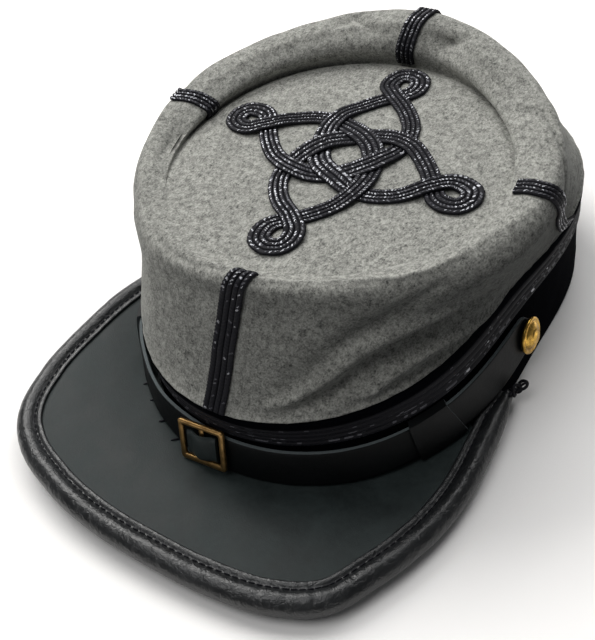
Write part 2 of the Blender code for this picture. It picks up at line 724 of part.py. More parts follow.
def button(row):
    """A domed button with a raised rim, its face bare."""
    share = (row.height - open_table(STRAP_TABLE, "angle", "foot", row.angle)) / strap_height(row.angle)
    seat = strap_point(row.angle, share)
    side = (strap_point(row.angle + 2.0, share) - strap_point(row.angle - 2.0, share)).normalized()
    rise = strap_point(row.angle, share + 0.3) - strap_point(row.angle, share - 0.3)
    away = side.cross(rise).normalized()
    rise = away.cross(side).normalized()
    mesh_bm = bmesh.new()
    rings = []
    for dome in DOME_TABLE[:-1]:
        ring = []
        for i in range(BUTTON_SIDES):
            turn = 2.0 * math.pi * i / BUTTON_SIDES
            flat = side * math.cos(turn) + rise * math.sin(turn)
            point = seat + flat * BUTTON_RADIUS * dome.share + away * (BUTTON_STAND + dome.out)
            ring.append(mesh_bm.verts.new(to_metres(point)))
        rings.append(ring)
    for near, far in zip(rings, rings[1:]):
        for i in range(BUTTON_SIDES):
            j = (i + 1) % BUTTON_SIDES
            mesh_bm.faces.new((near[i], near[j], far[j], far[i]))
    mesh_bm.faces.new(rings[0])
    hub = mesh_bm.verts.new(to_metres(seat + away * (BUTTON_STAND + DOME_TABLE[-1].out)))
    for i in range(BUTTON_SIDES):
        mesh_bm.faces.new((rings[-1][i], rings[-1][(i + 1) % BUTTON_SIDES], hub))
    return make_object(row.name, mesh_bm, GILT, 0.28, 1.0, sharp=35)


# ---------------------------------------------------------------- build
def clear_scene():
    for thing in list(bpy.data.objects):
        bpy.data.objects.remove(thing, do_unlink=True)


def build():
    clear_scene()
    crown_wall()
    crown_top()
    band()
    band_braid()
    for row in STRIP_TABLE:
        strip(row)
    top_knot()
    peak()
    peak_binding()
    chin_strap()
    for row in KEEPER_TABLE:
        keeper(row)
    buckle()
    buckle_tab()
    for row in BUTTON_TABLE:
        button(row)


build()
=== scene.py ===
"""Kepi cap: its wool, braid, leather, brass and gilt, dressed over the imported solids.

Tables are in millimetres and degrees, in the pattern's own frame.
The front is -Y and the wearer's left +X; angles run from the front by the wearer's left.
"""
import math

import bmesh
import bpy
import numpy as np
from bpy.props import FloatProperty, FloatVectorProperty, IntProperty, PointerProperty
from mathutils import Matrix, Vector


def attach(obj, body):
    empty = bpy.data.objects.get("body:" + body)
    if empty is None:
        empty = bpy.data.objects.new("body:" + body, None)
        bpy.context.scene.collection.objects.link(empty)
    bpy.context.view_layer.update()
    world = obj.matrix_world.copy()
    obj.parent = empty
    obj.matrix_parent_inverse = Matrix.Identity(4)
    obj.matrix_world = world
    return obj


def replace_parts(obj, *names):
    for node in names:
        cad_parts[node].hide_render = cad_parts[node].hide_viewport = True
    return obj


bl_info = {
    "name": "Kepi Cap",
    "version": (1, 0, 0),
    "blender": (4, 5, 0),
    "location": "View3D > Sidebar > Kepi",
    "description": "Dresses the solids of a kepi cap in wool, braid, leather, brass and gilt",
    "category": "Object",
}

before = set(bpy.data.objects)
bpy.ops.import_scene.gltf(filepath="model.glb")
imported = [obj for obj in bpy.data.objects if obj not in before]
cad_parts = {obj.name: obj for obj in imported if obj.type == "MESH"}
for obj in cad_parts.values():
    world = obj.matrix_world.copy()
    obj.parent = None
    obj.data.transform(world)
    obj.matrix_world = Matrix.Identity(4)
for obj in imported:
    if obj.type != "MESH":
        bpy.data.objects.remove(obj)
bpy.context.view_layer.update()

MM = 0.001
# From the pattern's middle to the frame's
FRAME_SHIFT = np.array((5.55, 21.84, 0.0))
# Gap between pieces, the wool's thickness, and the hem turned in at the seam
GAP = 0.4
CLOTH = 1.8
HEM = 2.5

# Rings round the head: mean reach; egg, length, blunt and square shares; side shift, height and rise
RIM_RING = (94.1, -3.0, 14.9, -1.7, -1.6, -1.8, 0.0, 0.0)
SEAM_RING = (90.6, -1.5, 18.4, 3.3, -0.6, -0.6, 45.4, 0.055)
DISC_MIDDLE = np.array((-0.3, -15.7, 0.0))
DISC_HEIGHT = 86.9
DISC_TILT = math.radians(4.05)
DISC_SLOPE = math.tan(DISC_TILT)
DISC_DISH = 1.2
DISC_REACH = 64.0

# Every 45 degrees: disc reach, roll width, roll height, shoulder out, wall swell, roll fullness, seam sink
RIM_ROWS = np.array((
    (64.5, 8.2, 3.0, 3.3, -0.7, 0.2, 0.0), (64.6, 9.5, 3.0, 2.2, -0.2, 0.2, 0.0),
    (66.8, 14.2, 4.5, 2.8, 0.2, 0.45, 0.3), (64.3, 14.2, 8.5, 3.8, 0.0, 1.1, 1.2),
    (64.0, 14.3, 16.3, 2.8, 0.6, 1.1, 1.8), (63.9, 12.6, 12.6, 2.7, 0.3, 1.3, 2.2),
    (64.3, 13.6, 8.3, 1.0, 0.9, 1.2, 1.8), (65.3, 9.3, 1.2, 5.6, 2.6, 0.1, 0.0),
))
# How far the full roll leans in over the disc's edge
ROLL_LEAN = 3.2
# The wall's levels: the seam is 0
CREST = 6.0
LAST_LEVEL = 8.0
# The wall's swell: part of the way up to the shoulder, and share of the swell there
SWELL_ROWS = ((0.12, 0.9), (0.35, 1.0), (0.70, 0.5))
# The rim's turn, below its crest, and the places of its stations across the roll
SHOULDER_DROP = 9.0
TURN_DROP = 2.5
TURN_OUT = 0.45
CREST_ACROSS = 0.8
SLOPE_ACROSS, SLOPE_ACROSS_FULL = 0.45, 0.25
SLOPE_UP, SLOPE_UP_FULL = 0.72, 0.13
# Rough length of a degree and of a level on the wall
DEGREE_LENGTH = 1.55
LEVEL_LENGTH = 10.5
# Broad folds: angle, level, half spans of each, slope, push
FOLD_ROWS = (
    (52, 4.1, 26, 0.9, 0.0, 0.7), (205, 6.6, 10, 0.9, 0.0, -1.6), (169, 7.2, 8, 0.8, 0.0, -4.2),
    (291, 7.1, 9, 0.7, 0.0, -1.8), (338, 4.6, 16, 1.2, 0.0, 1.0), (318, 3.0, 12, 1.5, 0.0, -1.2),
    (120, 2.1, 15, 0.9, 0.0, 2.2), (130, 0.8, 22, 0.6, 0.0, -1.0), (232, 2.2, 20, 1.0, 0.0, -1.6),
    (152, 6.4, 7, 0.7, 0.0, 0.9), (268, 6.4, 5, 1.6, 0.0, -1.2),
)
# Sharper creases in the wool: push, half width in mm, then points of (angle, level)
CREASE_ROWS = (
    (-4.4, 3.7, ((18.7, 0.93), (22.6, 1.24), (26.9, 1.65), (31.7, 2.06), (36.5, 2.24), (41.5, 2.34),
                 (47, 2.4), (52.8, 2.43), (60, 2.38), (70, 2.2))),
    (2.8, 2.6, ((14, 1.1), (17, 1.35), (23.3, 1.95), (27.9, 2.27), (32.9, 2.56), (38.1, 2.72),
                (43.7, 2.84), (51.8, 2.92), (60.7, 3.05))),
    (2.5, 2.3, ((32.2, 0.92), (37.1, 1.4), (42.1, 1.62), (47.7, 1.76), (53.6, 1.66), (60.4, 1.36),
                (68.9, 1.01), (78, 0.8))),
    (-1.8, 2.8, ((36, 0.7), (44, 0.85), (50, 0.9), (57, 0.6))),
    (-2.2, 3.4, ((16.2, 1.65), (19.4, 1.99), (24, 2.4), (30.3, 2.9), (40.1, 3.4), (48.9, 3.9), (56.8, 4.5))),
    (0.7, 3.0, ((7, 6.05), (22, 6.5), (35, 6.5), (47, 5.8), (55, 5.75), (66, 6.06), (75, 6.2), (88, 5.7))),
    (-0.8, 3.5, ((312, 6.2), (322, 5.8), (335, 5.3), (350, 5.3), (362, 6.1))),
    (-1.4, 2.8, ((214, 6.85), (209, 6.42), (205.7, 6.25), (199.9, 7.1), (194.2, 7.4))),
    (-1.6, 3.0, ((174, 7.3), (168.5, 6.9), (164, 6.5))),
    (-2.8, 4.2, ((124, 6.0), (116, 5.4), (110, 4.7), (106, 3.9), (103, 3.2))),
    (-1.4, 2.6, ((293.5, 7.15), (288.4, 7.35), (281, 7.6))),
    (0.8, 3.4, ((139, 1.6), (130, 2.2), (120.5, 2.66), (112, 2.4))),
    (-1.0, 3.0, ((128, 7.1), (125, 6.7), (121, 6.4))),
)

BAND_WALL = 2.2
BAND_INSET = 1.6
# Braid round the band: its height, the roll at its top, and the cords below the roll; how far down
# the light lines run and their width; its usual reach, one strand's length, and the mesh's steps
TRIM_HEIGHT = 14.4
TRIM_ROLL = 5.0
TRIM_CORDS = 4.0
TRIM_LINES = (9.9, 12.1, 13.8)
TRIM_LINE_WIDTH = 0.45
TRIM_REACH = 95.0
TRIM_STRAND = 1.5
TRIM_STEP = 0.3
TRIM_AROUND = 840
# Shares of strands: silver and silver or dull on the light lines, and dull between them
TRIM_SHARES = (0.02, 0.28, 0.015)

# Braid strips: angles at the foot, half way, on the crest and at the end, the end's level, width,
# and share of light threads low and high; the low share is cut as painted shade where the wall lies in
# shadow, the high share raised as painted glints on the lit rim
STRIP_ROWS = {
    "strip_front": (2.2, 2.8, 5.6, 6.6, 6.5, 9.0, 0.14, 1.0),
    "strip_left": (114.0, 100.0, 93.4, 93.6, 7.2, 7.4, 0.6, 0.9),
    "strip_back": (180.0, 181.0, 182.2, 185.2, 7.8, 8.0, 0.5, 0.85),
    "strip_right": (256.0, 265.0, 271.5, 268.0, 7.8, 7.2, 0.6, 0.9),
}
BRAID_THICK = 1.25
BRAID_SEAT = GAP - 0.2
# Level above which a strip has its high share: below it the fewer light threads are painted shade, above it
# the more are painted glints
STRIP_CHANGE = 4.6

KNOT_MIDDLE = np.array((2.6, -14.9, 0.0))
KNOT_WIDTH = 7.4
# Extra width near the middle and in the curls, and the lift where the knot passes over itself
KNOT_SPREAD = 1.6
CURL_SPREAD = 1.1
KNOT_LIFT = 1.15
KNOT_SEAT = GAP - 0.1
KNOT_TURN = -2.2
KNOT_SKEW = 3.7
# One leg of the knot: angle and reach
KNOT_ROWS = np.array((
    (0.0, 54.2), (-4.6, 52.6), (-7.0, 48.3), (-6.4, 43.8), (-2.0, 40.0), (4.0, 36.8), (17.0, 31.0),
    (33.0, 25.6), (52.0, 19.6), (78.0, 13.6), (110.0, 10.6), (143.0, 10.2), (172.0, 11.4), (197.0, 14.4),
    (218.0, 20.4), (235.0, 26.6), (251.0, 31.8), (266.0, 36.8), (272.0, 40.0), (276.4, 43.8),
    (277.0, 48.3), (274.6, 52.6), (270.0, 54.2),
))

# Peak's outer line about a point behind the front: angle, reach, height
PEAK_MIDDLE = np.array((0.0, -60.0, 0.0))
EDGE_ROWS = np.array((
    (-114, 93.6, 9.0), (-105, 95.8, 10.8), (-90, 96.6, 13.0), (-75, 99.5, 13.5), (-60, 106.5, 13.5),
    (-50, 111.0, 13.0), (-42, 110.4, 12.0), (-30, 104.6, 11.0), (-15, 98.6, 10.0), (0, 95.6, 9.5),
    (15, 97.4, 9.0), (30, 102.0, 9.0), (40, 103.0, 9.0), (50, 97.8, 9.0), (60, 93.6, 9.0),
    (75, 88.6, 9.0), (90, 84.8, 9.0), (105, 84.8, 9.0), (112, 85.6, 9.0),
))
PEAK_THICK = 2.5
PEAK_FRONT_HEIGHT = 7.6
PEAK_SIDE_HEIGHT = 8.6
PEAK_ARCH = 0.024
PEAK_ENDS = (-99.0, 95.0)
BINDING_ENDS = (-113.0, 111.0)
BINDING_WIDTH = 10.5
BINDING_SLOT = 6.7
BINDING_GROOVE = 7.7
BINDING_CLEAR = 0.8
BINDING_LEAST = 2.0
BINDING_LEAST_RISE = 0.6
# Binding's section: inward from its outer line, and up from the leather's face
BINDING_SECTION = np.array((
    (10.5, 0.45), (10.45, 1.05), (10.0, 1.4), (9.0, 1.3), (8.3, 0.85), (7.7, 0.65), (7.0, 1.1), (6.2, 1.65),
    (5.2, 1.95), (4.0, 1.95), (2.8, 1.45), (1.6, 0.6), (0.6, -0.6), (0.05, -2.0), (0.0, -3.3), (0.4, -4.5),
    (1.3, -5.5), (2.6, -6.2), (4.0, -6.5), (5.6, -6.2), (7.2, -5.4), (8.6, -4.6), (9.6, -4.2), (9.85, -3.6),
    (9.8, -2.95), (8.2, -2.95), (6.7, -2.95), (6.7, -1.2), (6.7, 0.4), (8.6, 0.4),
))

# Thread: the binding's stitches, the bars on the peak and the knotted tuft with its two ends
STITCH_PITCH = 3.3
PEAK_STITCHES = ((-50.8, -93.7, 8.5), (-42.8, -98.9, 8.4), (-32.5, -105.5, 8.5), (-22.1, -110.4, 8.6))
TUFT_MIDDLE = np.array((80.4, -26.5, 8.6))
TUFT_TIPS = ((3.2, 2.4, 2.6), (-1.0, -5.6, 1.2))

# Strap's edges: angle, top, foot, stand-off at the top and at the foot
STRAP_ROWS = np.array((
    (-92, 27.6, 11.6, 2.0, 2.0), (-65, 28.0, 12.0, 4.2, 4.2), (-50, 27.4, 11.8, 6.2, 5.6),
    (-40, 26.7, 11.5, 6.8, 6.0), (-27, 26.0, 10.6, 4.8, 6.0), (-15, 25.2, 9.6, 4.2, 7.0),
    (-6, 24.2, 9.0, 3.0, 8.0), (4, 23.4, 9.0, 3.0, 8.0), (15, 23.0, 9.2, 3.2, 7.6),
    (28, 23.2, 9.8, 3.3, 6.4), (46, 25.4, 11.4, 3.5, 3.9), (70, 27.5, 11.4, 3.2, 3.2),
    (88, 27.0, 10.8, 2.0, 2.0),
))
STRAP_THICK = 1.5
STRAP_ENDS = (-92.0, 88.0)
# Front top, front foot, back top and back foot angles
KEEPER_ROWS = {"keeper_left": (39.5, 41.5, 49.0, 53.5), "keeper_right": (-38.5, -38.5, -49.0, -49.0)}
KEEPER_THICK = 0.9
BUCKLE_MIDDLE = np.array((-4.9, -111.4, 18.2))
BUCKLE_SIZE = (21.0, 17.2)
BUCKLE_BAR = 2.3
BUCKLE_LEAN = math.radians(16.0)
BUCKLE_ROLL = math.radians(7.0)
# Frame's section: part of the way inwards, and out from its back face
BUCKLE_SECTION = (
    (0.0, 0.15), (0.0, 0.5), (0.0, 1.0), (0.03, 1.25), (0.12, 1.45), (0.28, 1.58), (0.5, 1.6), (0.72, 1.52),
    (0.88, 1.36), (0.97, 1.1), (1.0, 0.7), (1.0, 0.3), (0.95, 0.05), (0.5, 0.0), (0.05, 0.03),
)
TAB_WIDTH = 10.0
TAB_THICK = 1.2
TAB_DROP = 0.6
# Tab's bend: along the strap and out
TAB_ROWS = np.array((
    (-6.6, 0.15), (-4.6, 0.25), (-2.6, 1.1), (-1.2, 1.62), (0.0, 1.75), (1.2, 1.62), (2.6, 1.1),
    (4.6, 0.25), (6.6, 0.15),
))
# Angle and height
BUTTON_ROWS = {"button_left": (84.5, 18.4), "button_right": (-88.0, 18.4)}
BUTTON_RADIUS = 7.6
BUTTON_STAND = 0.5
# Shank side, rim and groove: share of the radius, and out; then the dome
BUTTON_RIM = (
    (0.30, 0.0), (0.55, 0.0), (0.90, 0.15), (0.97, 0.5), (1.0, 1.0), (0.995, 1.5), (0.97, 1.85), (0.93, 2.05),
    (0.89, 2.08), (0.85, 1.98), (0.82, 1.86), (0.78, 1.9),
)
BUTTON_DOME = 4.2
BUTTON_DOME_DROP = 2.3
BUTTON_FIELD = (0.42, 0.74)

# Camera: degrees round, up and rolled; distance; picture, focal length and middle of view in pixels
CAMERA_TURN = (37.24, 41.14, -6.93)
CAMERA_DISTANCE = 366.77
CAMERA_AIM = np.array((0.0, -29.94, 40.0))
PICTURE = (595.0, 640.0)
FOCAL_PIXELS = 919.26
VIEW_MIDDLE = (330.0, 270.0)
SENSOR = 36.0

FLOOR_REACH = 2.5
FLOOR_CELLS = 21
FLOOR_DROP = 0.0002
FLOOR_GLOW = 0.30
LAMP_AIM = Vector((0.0, 0.0, 0.05))


# ---------------------------------------------------------------- the pattern's curves
def smooth4(before, start, end, after, part):
    """A smooth curve through four values, part of the way from the second to the third."""
    return 0.5 * (2 * start + (end - before) * part
                  + (2 * before - 5 * start + 4 * end - after) * part ** 2
                  + (3 * start - before - 3 * end + after) * part ** 3)


def round_column(rows, column, angle):
    """A column of an evenly spaced table that closes on itself."""
    count = len(rows)
    place = np.mod(angle, 360.0) / 360.0 * count
    row = np.floor(place).astype(int)
    near = [rows[(row + step) % count, column] for step in (-1, 0, 1, 2)]
    return smooth4(*near, place - row)


def open_column(rows, column, at):
    """A column of a table whose first column rises, held at its ends."""
    last = len(rows) - 1
    row = np.clip(np.searchsorted(rows[:, 0], at, side="right") - 1, 0, last - 1)
    part = np.clip((at - rows[row, 0]) / (rows[row + 1, 0] - rows[row, 0]), 0.0, 1.0)
    near = [rows[np.clip(row + step, 0, last), column] for step in (-1, 0, 1, 2)]
    return smooth4(*near, part)


def run_column(rows, column, share):
    """A column of a table read evenly from its first row (0) to its last (1)."""
    last = len(rows) - 1
    place = np.asarray(share) * last
    row = np.clip(np.floor(place).astype(int), 0, last - 1)
    near = [rows[np.clip(row + step, 0, last), column] for step in (-1, 0, 1, 2)]
    return smooth4(*near, place - row)


def outward(angle):
    turn = np.radians(np.asarray(angle, float))
    return np.stack([np.sin(turn), -np.cos(turn), np.zeros_like(turn)], -1)


def unit(vectors):
    return vectors / np.maximum(np.linalg.norm(vectors, axis=-1, keepdims=True), 1e-12)


def scaled(vectors, amount):
    return vectors * np.asarray(amount)[..., None]


def together(*values):
    """Values as arrays of one shape."""
    return np.broadcast_arrays(*[np.asarray(value, float) for value in values])


def lengths_along(points):
    steps = np.linalg.norm(np.diff(points, axis=0), axis=1)
    return np.concatenate([[0.0], np.cumsum(steps)])


def even_line(points, step):
    """Points spaced evenly along a line, about step apart."""
    run = lengths_along(points)
    count = max(int(round(run[-1] / step)), 2)
    at = np.linspace(0.0, run[-1], count + 1)
    return np.stack([np.interp(at, run, points[:, k]) for k in range(points.shape[1])], -1)


CLOUD = np.random.RandomState(11).uniform(-1.0, 1.0, (24, 24, 24))


def cloud(points, size, shift=0.0):
    """Soft noise from -1 to 1 over points, with lumps of about that size."""
    place = points / size + shift
    low = np.floor(place).astype(int)
    part = place - low
    part = part * part * (3.0 - 2.0 * part)
    total = 0.0
    for corner in np.ndindex(2, 2, 2):
        weight = np.ones(points.shape[:-1])
        for axis in range(3):
            weight = weight * (part[..., axis] if corner[axis] else 1.0 - part[..., axis])
        spot = (low + np.array(corner)) % 24
        total = total + weight * CLOUD[spot[..., 0], spot[..., 1], spot[..., 2]]
    return total


# ---------------------------------------------------------------- the cap's surfaces
def ring_point(ring, angle):
    angle = np.asarray(angle, float)
    turn = np.radians(angle)
    reach = (ring[0] + ring[1] * np.cos(turn) + ring[2] * np.cos(2 * turn)
             + ring[3] * np.cos(3 * turn) + ring[4] * np.cos(4 * turn))
    point = scaled(outward(angle), reach) + np.array((ring[5], 0.0, 0.0))
    point[..., 2] = ring[6] + ring[7] * point[..., 1]
    return point


def disc_height(points):
    reach = np.linalg.norm((points - DISC_MIDDLE)[..., :2], axis=-1)
    dish = DISC_DISH * (1.0 - np.minimum(reach / DISC_REACH, 1.0) ** 2)
    return DISC_HEIGHT + DISC_SLOPE * (points[..., 1] - DISC_MIDDLE[1]) - dish


def rim_point(angle, reach, lift):
    point = scaled(outward(angle), reach) + DISC_MIDDLE
    point[..., 2] = DISC_HEIGHT + DISC_SLOPE * (point[..., 1] - DISC_MIDDLE[1]) + lift
    return point


def wall_stations(angle):
    """The nine points, from the seam to the disc's edge, that the wall's curve goes through."""
    disc, width, height, out, swell, full = [round_column(RIM_ROWS, column, angle) for column in range(6)]
    seam = ring_point(SEAM_RING, angle)
    shoulder = rim_point(angle, disc + width + out, height - SHOULDER_DROP)
    away = outward(angle)
    wall = [seam * (1.0 - part) + shoulder * part + scaled(away, swell * share) for part, share in SWELL_ROWS]
    return np.stack([seam] + wall + [
        shoulder,
        rim_point(angle, disc + width + TURN_OUT * out, height - TURN_DROP),
        rim_point(angle, disc + CREST_ACROSS * width, height),
        rim_point(angle, disc + (SLOPE_ACROSS - SLOPE_ACROSS_FULL * full) * width,
                  (SLOPE_UP + SLOPE_UP_FULL * full) * height),
        rim_point(angle, disc, np.zeros_like(disc)),
    ], -2)


def wall_plain(angle, level):
    """Outer face of the wall: level 0 is the seam, 6 the rim's crest and 8 the disc's edge."""
    angle, level = together(angle, level)
    stations = wall_stations(angle)
    last = int(LAST_LEVEL)
    row = np.clip(np.floor(level).astype(int), 0, last - 1)
    near = [np.take_along_axis(stations, np.clip(row + step, 0, last)[..., None, None], -2)[..., 0, :]
            for step in (-1, 0, 1, 2)]
    inner = np.clip(level - (LAST_LEVEL - 1.0), 0.0, 1.0)
    lean = ROLL_LEAN * round_column(RIM_ROWS, 5, angle) * np.sin(np.pi * inner) ** 2
    return smooth4(*near, (level - row)[..., None]) - scaled(outward(angle), lean)


def wall_normal(angle, level):
    low = np.maximum(level - 0.15, 0.0)
    high = np.minimum(level + 0.15, LAST_LEVEL)
    along = wall_plain(angle + 1.0, level) - wall_plain(angle - 1.0, level)
    up = wall_plain(angle, high) - wall_plain(angle, low)
    return unit(np.cross(along, up))


def turn_about(angle, middle):
    """The turn from middle to angle, the short way."""
    return np.mod(angle - middle + 180.0, 360.0) - 180.0


def fold_push(angle, level):
    """How far the broad folds push the wall out or in."""
    push = np.zeros(np.broadcast(angle, level).shape)
    for middle, height, half_angle, half_level, slope, amount in FOLD_ROWS:
        turn = turn_about(angle, middle)
        rise = level - height - slope * turn
        push = push + amount * np.exp(-(turn / half_angle) ** 2 - (rise / half_level) ** 2)
    return push


def crease_push(angle, level):
    """How far the sharper creases, each a soft line across the wall, push it out or in."""
    push = np.zeros(np.broadcast(angle, level).shape)
    for amount, half, line in CREASE_ROWS:
        line = np.array(line, float)
        middle = line[:, 0].mean()
        turn = turn_about(angle, middle) + middle
        place = np.stack(np.broadcast_arrays(turn * DEGREE_LENGTH, level * LEVEL_LENGTH), -1)
        best = np.full(place.shape[:-1], 1e9)
        near_end = np.zeros(place.shape[:-1])
        points = line * (DEGREE_LENGTH, LEVEL_LENGTH)
        run = lengths_along(points)
        for i in range(len(points) - 1):
            leg = points[i + 1] - points[i]
            part = np.clip(((place - points[i]) @ leg) / (leg @ leg), 0.0, 1.0)
            gap = np.linalg.norm(place - points[i] - scaled(np.broadcast_to(leg, place.shape), part), axis=-1)
            closer = gap < best
            best = np.where(closer, gap, best)
            near_end = np.where(closer, (run[i] + part * (run[i + 1] - run[i])) / run[-1], near_end)
        taper = np.sin(np.pi * np.clip(0.12 + 0.76 * near_end, 0.0, 1.0)) ** 0.8
        push = push + amount * taper * np.exp(-(best / half) ** 2)
    return push


def wall_point(angle, level, depth=0.0):
    """A point of the folded wall, sunk below its outer face by depth."""
    angle, level = together(angle, level)
    plain = wall_plain(angle, level)
    fade = np.minimum(np.minimum(level, LAST_LEVEL - level), 1.0)
    soft = 0.45 * cloud(plain, 17.0) + 0.22 * cloud(plain, 7.0, 3.3)
    push = (fold_push(angle, level) + crease_push(angle, level) + soft) * fade
    point = plain + scaled(wall_normal(angle, level), push - depth)
    point[..., 2] -= round_column(RIM_ROWS, 6, angle) * np.exp(-((LAST_LEVEL - level) / 0.3) ** 2)
    return point


def band_point(angle, height, off=0.0):
    """A point at that height on the band's outer face, moved off it."""
    angle, height, off = together(angle, height, off)
    top = ring_point(SEAM_RING, angle) - outward(angle) * BAND_INSET
    foot = ring_point(RIM_RING, angle)
    part = (height / top[..., 2])[..., None]
    return foot * (1.0 - part) + top * part + scaled(outward(angle), off)


def band_top(angle):
    return ring_point(SEAM_RING, angle)[..., 2] - GAP


def band_angle(point):
    return np.degrees(np.arctan2(point[..., 0] - RIM_RING[5], -point[..., 1]))


def edge_line(angle):
    return scaled(outward(angle), open_column(EDGE_ROWS, 1, angle)) + PEAK_MIDDLE


def peak_seam(point, depth=0.0):
    """Where the peak's leather meets the band, beside a point of its edge."""
    beside = band_angle(point)
    front = np.maximum(np.cos(np.radians(beside)), 0.0)
    height = PEAK_SIDE_HEIGHT + (PEAK_FRONT_HEIGHT - PEAK_SIDE_HEIGHT) * front
    return band_point(beside, height - depth, GAP + 0.2)


def edge_point(angle, inward=0.0, up=0.0):
    """A point beside the binding's outer line, moved inwards along the leather and up."""
    angle, inward, up = together(angle, inward, up)
    here = edge_line(angle)
    height = open_column(EDGE_ROWS, 2, angle)
    along = unit(edge_line(angle + 0.5) - edge_line(angle - 0.5))
    inner = np.cross(np.array((0.0, 0.0, 1.0)), along)
    seam = peak_seam(here)
    slope = (height - seam[..., 2]) / np.linalg.norm((here - seam)[..., :2], axis=-1)
    point = here + scaled(inner, inward)
    point[..., 2] += height + up - slope * inward
    return point


def edge_angles(first, last, step):
    """Angles along the peak's edge whose points are evenly spaced."""
    fine = np.linspace(first, last, 2400)
    run = lengths_along(edge_point(fine))
    count = int(round(run[-1] / step))
    return np.interp(np.linspace(0.0, run[-1], count + 1), run, fine)


def peak_face(angle, part, depth=0.0):
    """The peak's leather from the band (0) to the binding's slot (1), depth below its top face."""
    edge = edge_point(angle, BINDING_SLOT + GAP, -depth)
    seam = peak_seam(edge, depth)
    part = np.broadcast_to(part, np.broadcast(angle, part).shape)[..., None]
    face = seam * (1.0 - part) + edge * part
    arch = 4.0 * PEAK_ARCH * np.linalg.norm(edge - seam, axis=-1)
    part = part[..., 0]
    soft = 0.32 * cloud(face, 21.0, 5.1) + 0.10 * cloud(face, 8.0, 2.7)
    face[..., 2] += arch * part * (1.0 - part) + soft * np.sin(np.pi * part)
    return face


def binding_scale(angle):
    """How far the binding narrows where the peak's ends run beside the band."""
    point = edge_point(angle)
    face = band_point(band_angle(point), point[..., 2])
    side = np.array((RIM_RING[5], 0.0, 0.0))
    room = np.linalg.norm((point - side)[..., :2], axis=-1) - np.linalg.norm((face - side)[..., :2], axis=-1)
    return np.minimum(1.0, np.maximum(room - BINDING_CLEAR, BINDING_LEAST) / BINDING_WIDTH)


def strap_point(angle, share, off=0.0):
    """A point on the strap's outer face: share 0 is its foot, 1 its top edge."""
    angle, share, off = together(angle, share, off)
    top, foot, off_top, off_foot = [open_column(STRAP_ROWS, column, angle) for column in (1, 2, 3, 4)]
    return band_point(angle, foot + (top - foot) * share, off_foot + (off_top - off_foot) * share + off)


def strap_height(angle):
    return open_column(STRAP_ROWS, 1, angle) - open_column(STRAP_ROWS, 2, angle)


def buckle_place(across, up, out):
    """A point in the buckle's own plane, out from its back face."""
    across, up, out = together(across, up, out)
    rise = np.array((0.0, math.sin(BUCKLE_LEAN), math.cos(BUCKLE_LEAN)))
    away = np.array((0.0, -math.cos(BUCKLE_LEAN), math.sin(BUCKLE_LEAN)))
    side = across * math.cos(BUCKLE_ROLL) - up * math.sin(BUCKLE_ROLL)
    tall = across * math.sin(BUCKLE_ROLL) + up * math.cos(BUCKLE_ROLL)
    return (BUCKLE_MIDDLE + scaled(np.array((1.0, 0.0, 0.0)), side) + scaled(rise, tall)
            + scaled(away, out))


# ---------------------------------------------------------------- meshes
def grid_faces(rows, columns, round_rows=False, round_columns=False, start=0):
    """The four-sided faces of a grid of points, closed on itself either way."""
    i, j = np.meshgrid(np.arange(rows if round_rows else rows - 1),
                       np.arange(columns if round_columns else columns - 1), indexing="ij")
    below, right = (i + 1) % rows, (j + 1) % columns
    faces = np.stack([i * columns + j, i * columns + right, below * columns + right, below * columns + j], -1)
    return faces.reshape(-1, 4) + start


class Cut:
    """Points and faces gathered for one piece."""

    def __init__(self):
        self.points = []
        self.faces = []
        self.finishes = []
        self.count = 0

    def grid(self, grid, round_rows=False, round_columns=False, caps=False, finish=0):
        """Add a grid of points as a skin. caps closes the two ends of a round one."""
        rows, columns = grid.shape[:2]
        faces = grid_faces(rows, columns, round_rows, round_columns, self.count)
        self.faces.extend(faces.tolist())
        marks = np.broadcast_to(finish, (len(faces),)) if np.ndim(finish) == 0 else np.ravel(finish)
        self.finishes.extend(marks.tolist())
        self.points.append(grid.reshape(-1, 3))
        first = self.count
        self.count += rows * columns
        if caps:
            for row in (0, rows - 1):
                hub = self.count
                self.points.append(grid[row].mean(axis=0)[None])
                self.count += 1
                for j in range(columns):
                    corner = first + row * columns
                    self.faces.append([corner + j, corner + (j + 1) % columns, hub])
                    self.finishes.append(0 if np.ndim(finish) else int(finish))
        return self

    def make(self, name, finishes, slot, sharp):
        """Turn what was gathered into a piece that rides with the cap."""
        mesh = bpy.data.meshes.new(name)
        points = (np.concatenate(self.points) + FRAME_SHIFT) * MM
        mesh.from_pydata(points.tolist(), [], self.faces)
        for finish in finishes:
            mesh.materials.append(finish)
        if len(finishes) > 1:
            mesh.polygons.foreach_set("material_index", np.array(self.finishes, np.int32))
        work = bmesh.new()
        work.from_mesh(mesh)
        bmesh.ops.recalc_face_normals(work, faces=work.faces)
        work.to_mesh(mesh)
        work.free()
        mesh.shade_smooth()
        mesh.set_sharp_from_angle(angle=math.radians(sharp))
        piece = bpy.data.objects.new(name, mesh)
        bpy.context.scene.collection.objects.link(piece)
        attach(piece, "root")
        return piece


def tube(points, radius, sides):
    """A round cord's skin along a line of points."""
    along = unit(np.gradient(points, axis=0))
    start = np.array((0.0, 0.0, 1.0)) if abs(along[0, 2]) < 0.9 else np.array((1.0, 0.0, 0.0))
    side = unit(np.cross(along[0], start))
    turn = np.linspace(0.0, 2.0 * np.pi, sides, endpoint=False)
    radius = np.broadcast_to(radius, (len(points),))
    rows = []
    for i, point in enumerate(points):
        side = unit(side - along[i] * (side @ along[i]))
        other = np.cross(along[i], side)
        rows.append(point + radius[i] * (np.outer(np.cos(turn), side) + np.outer(np.sin(turn), other)))
    return np.array(rows)


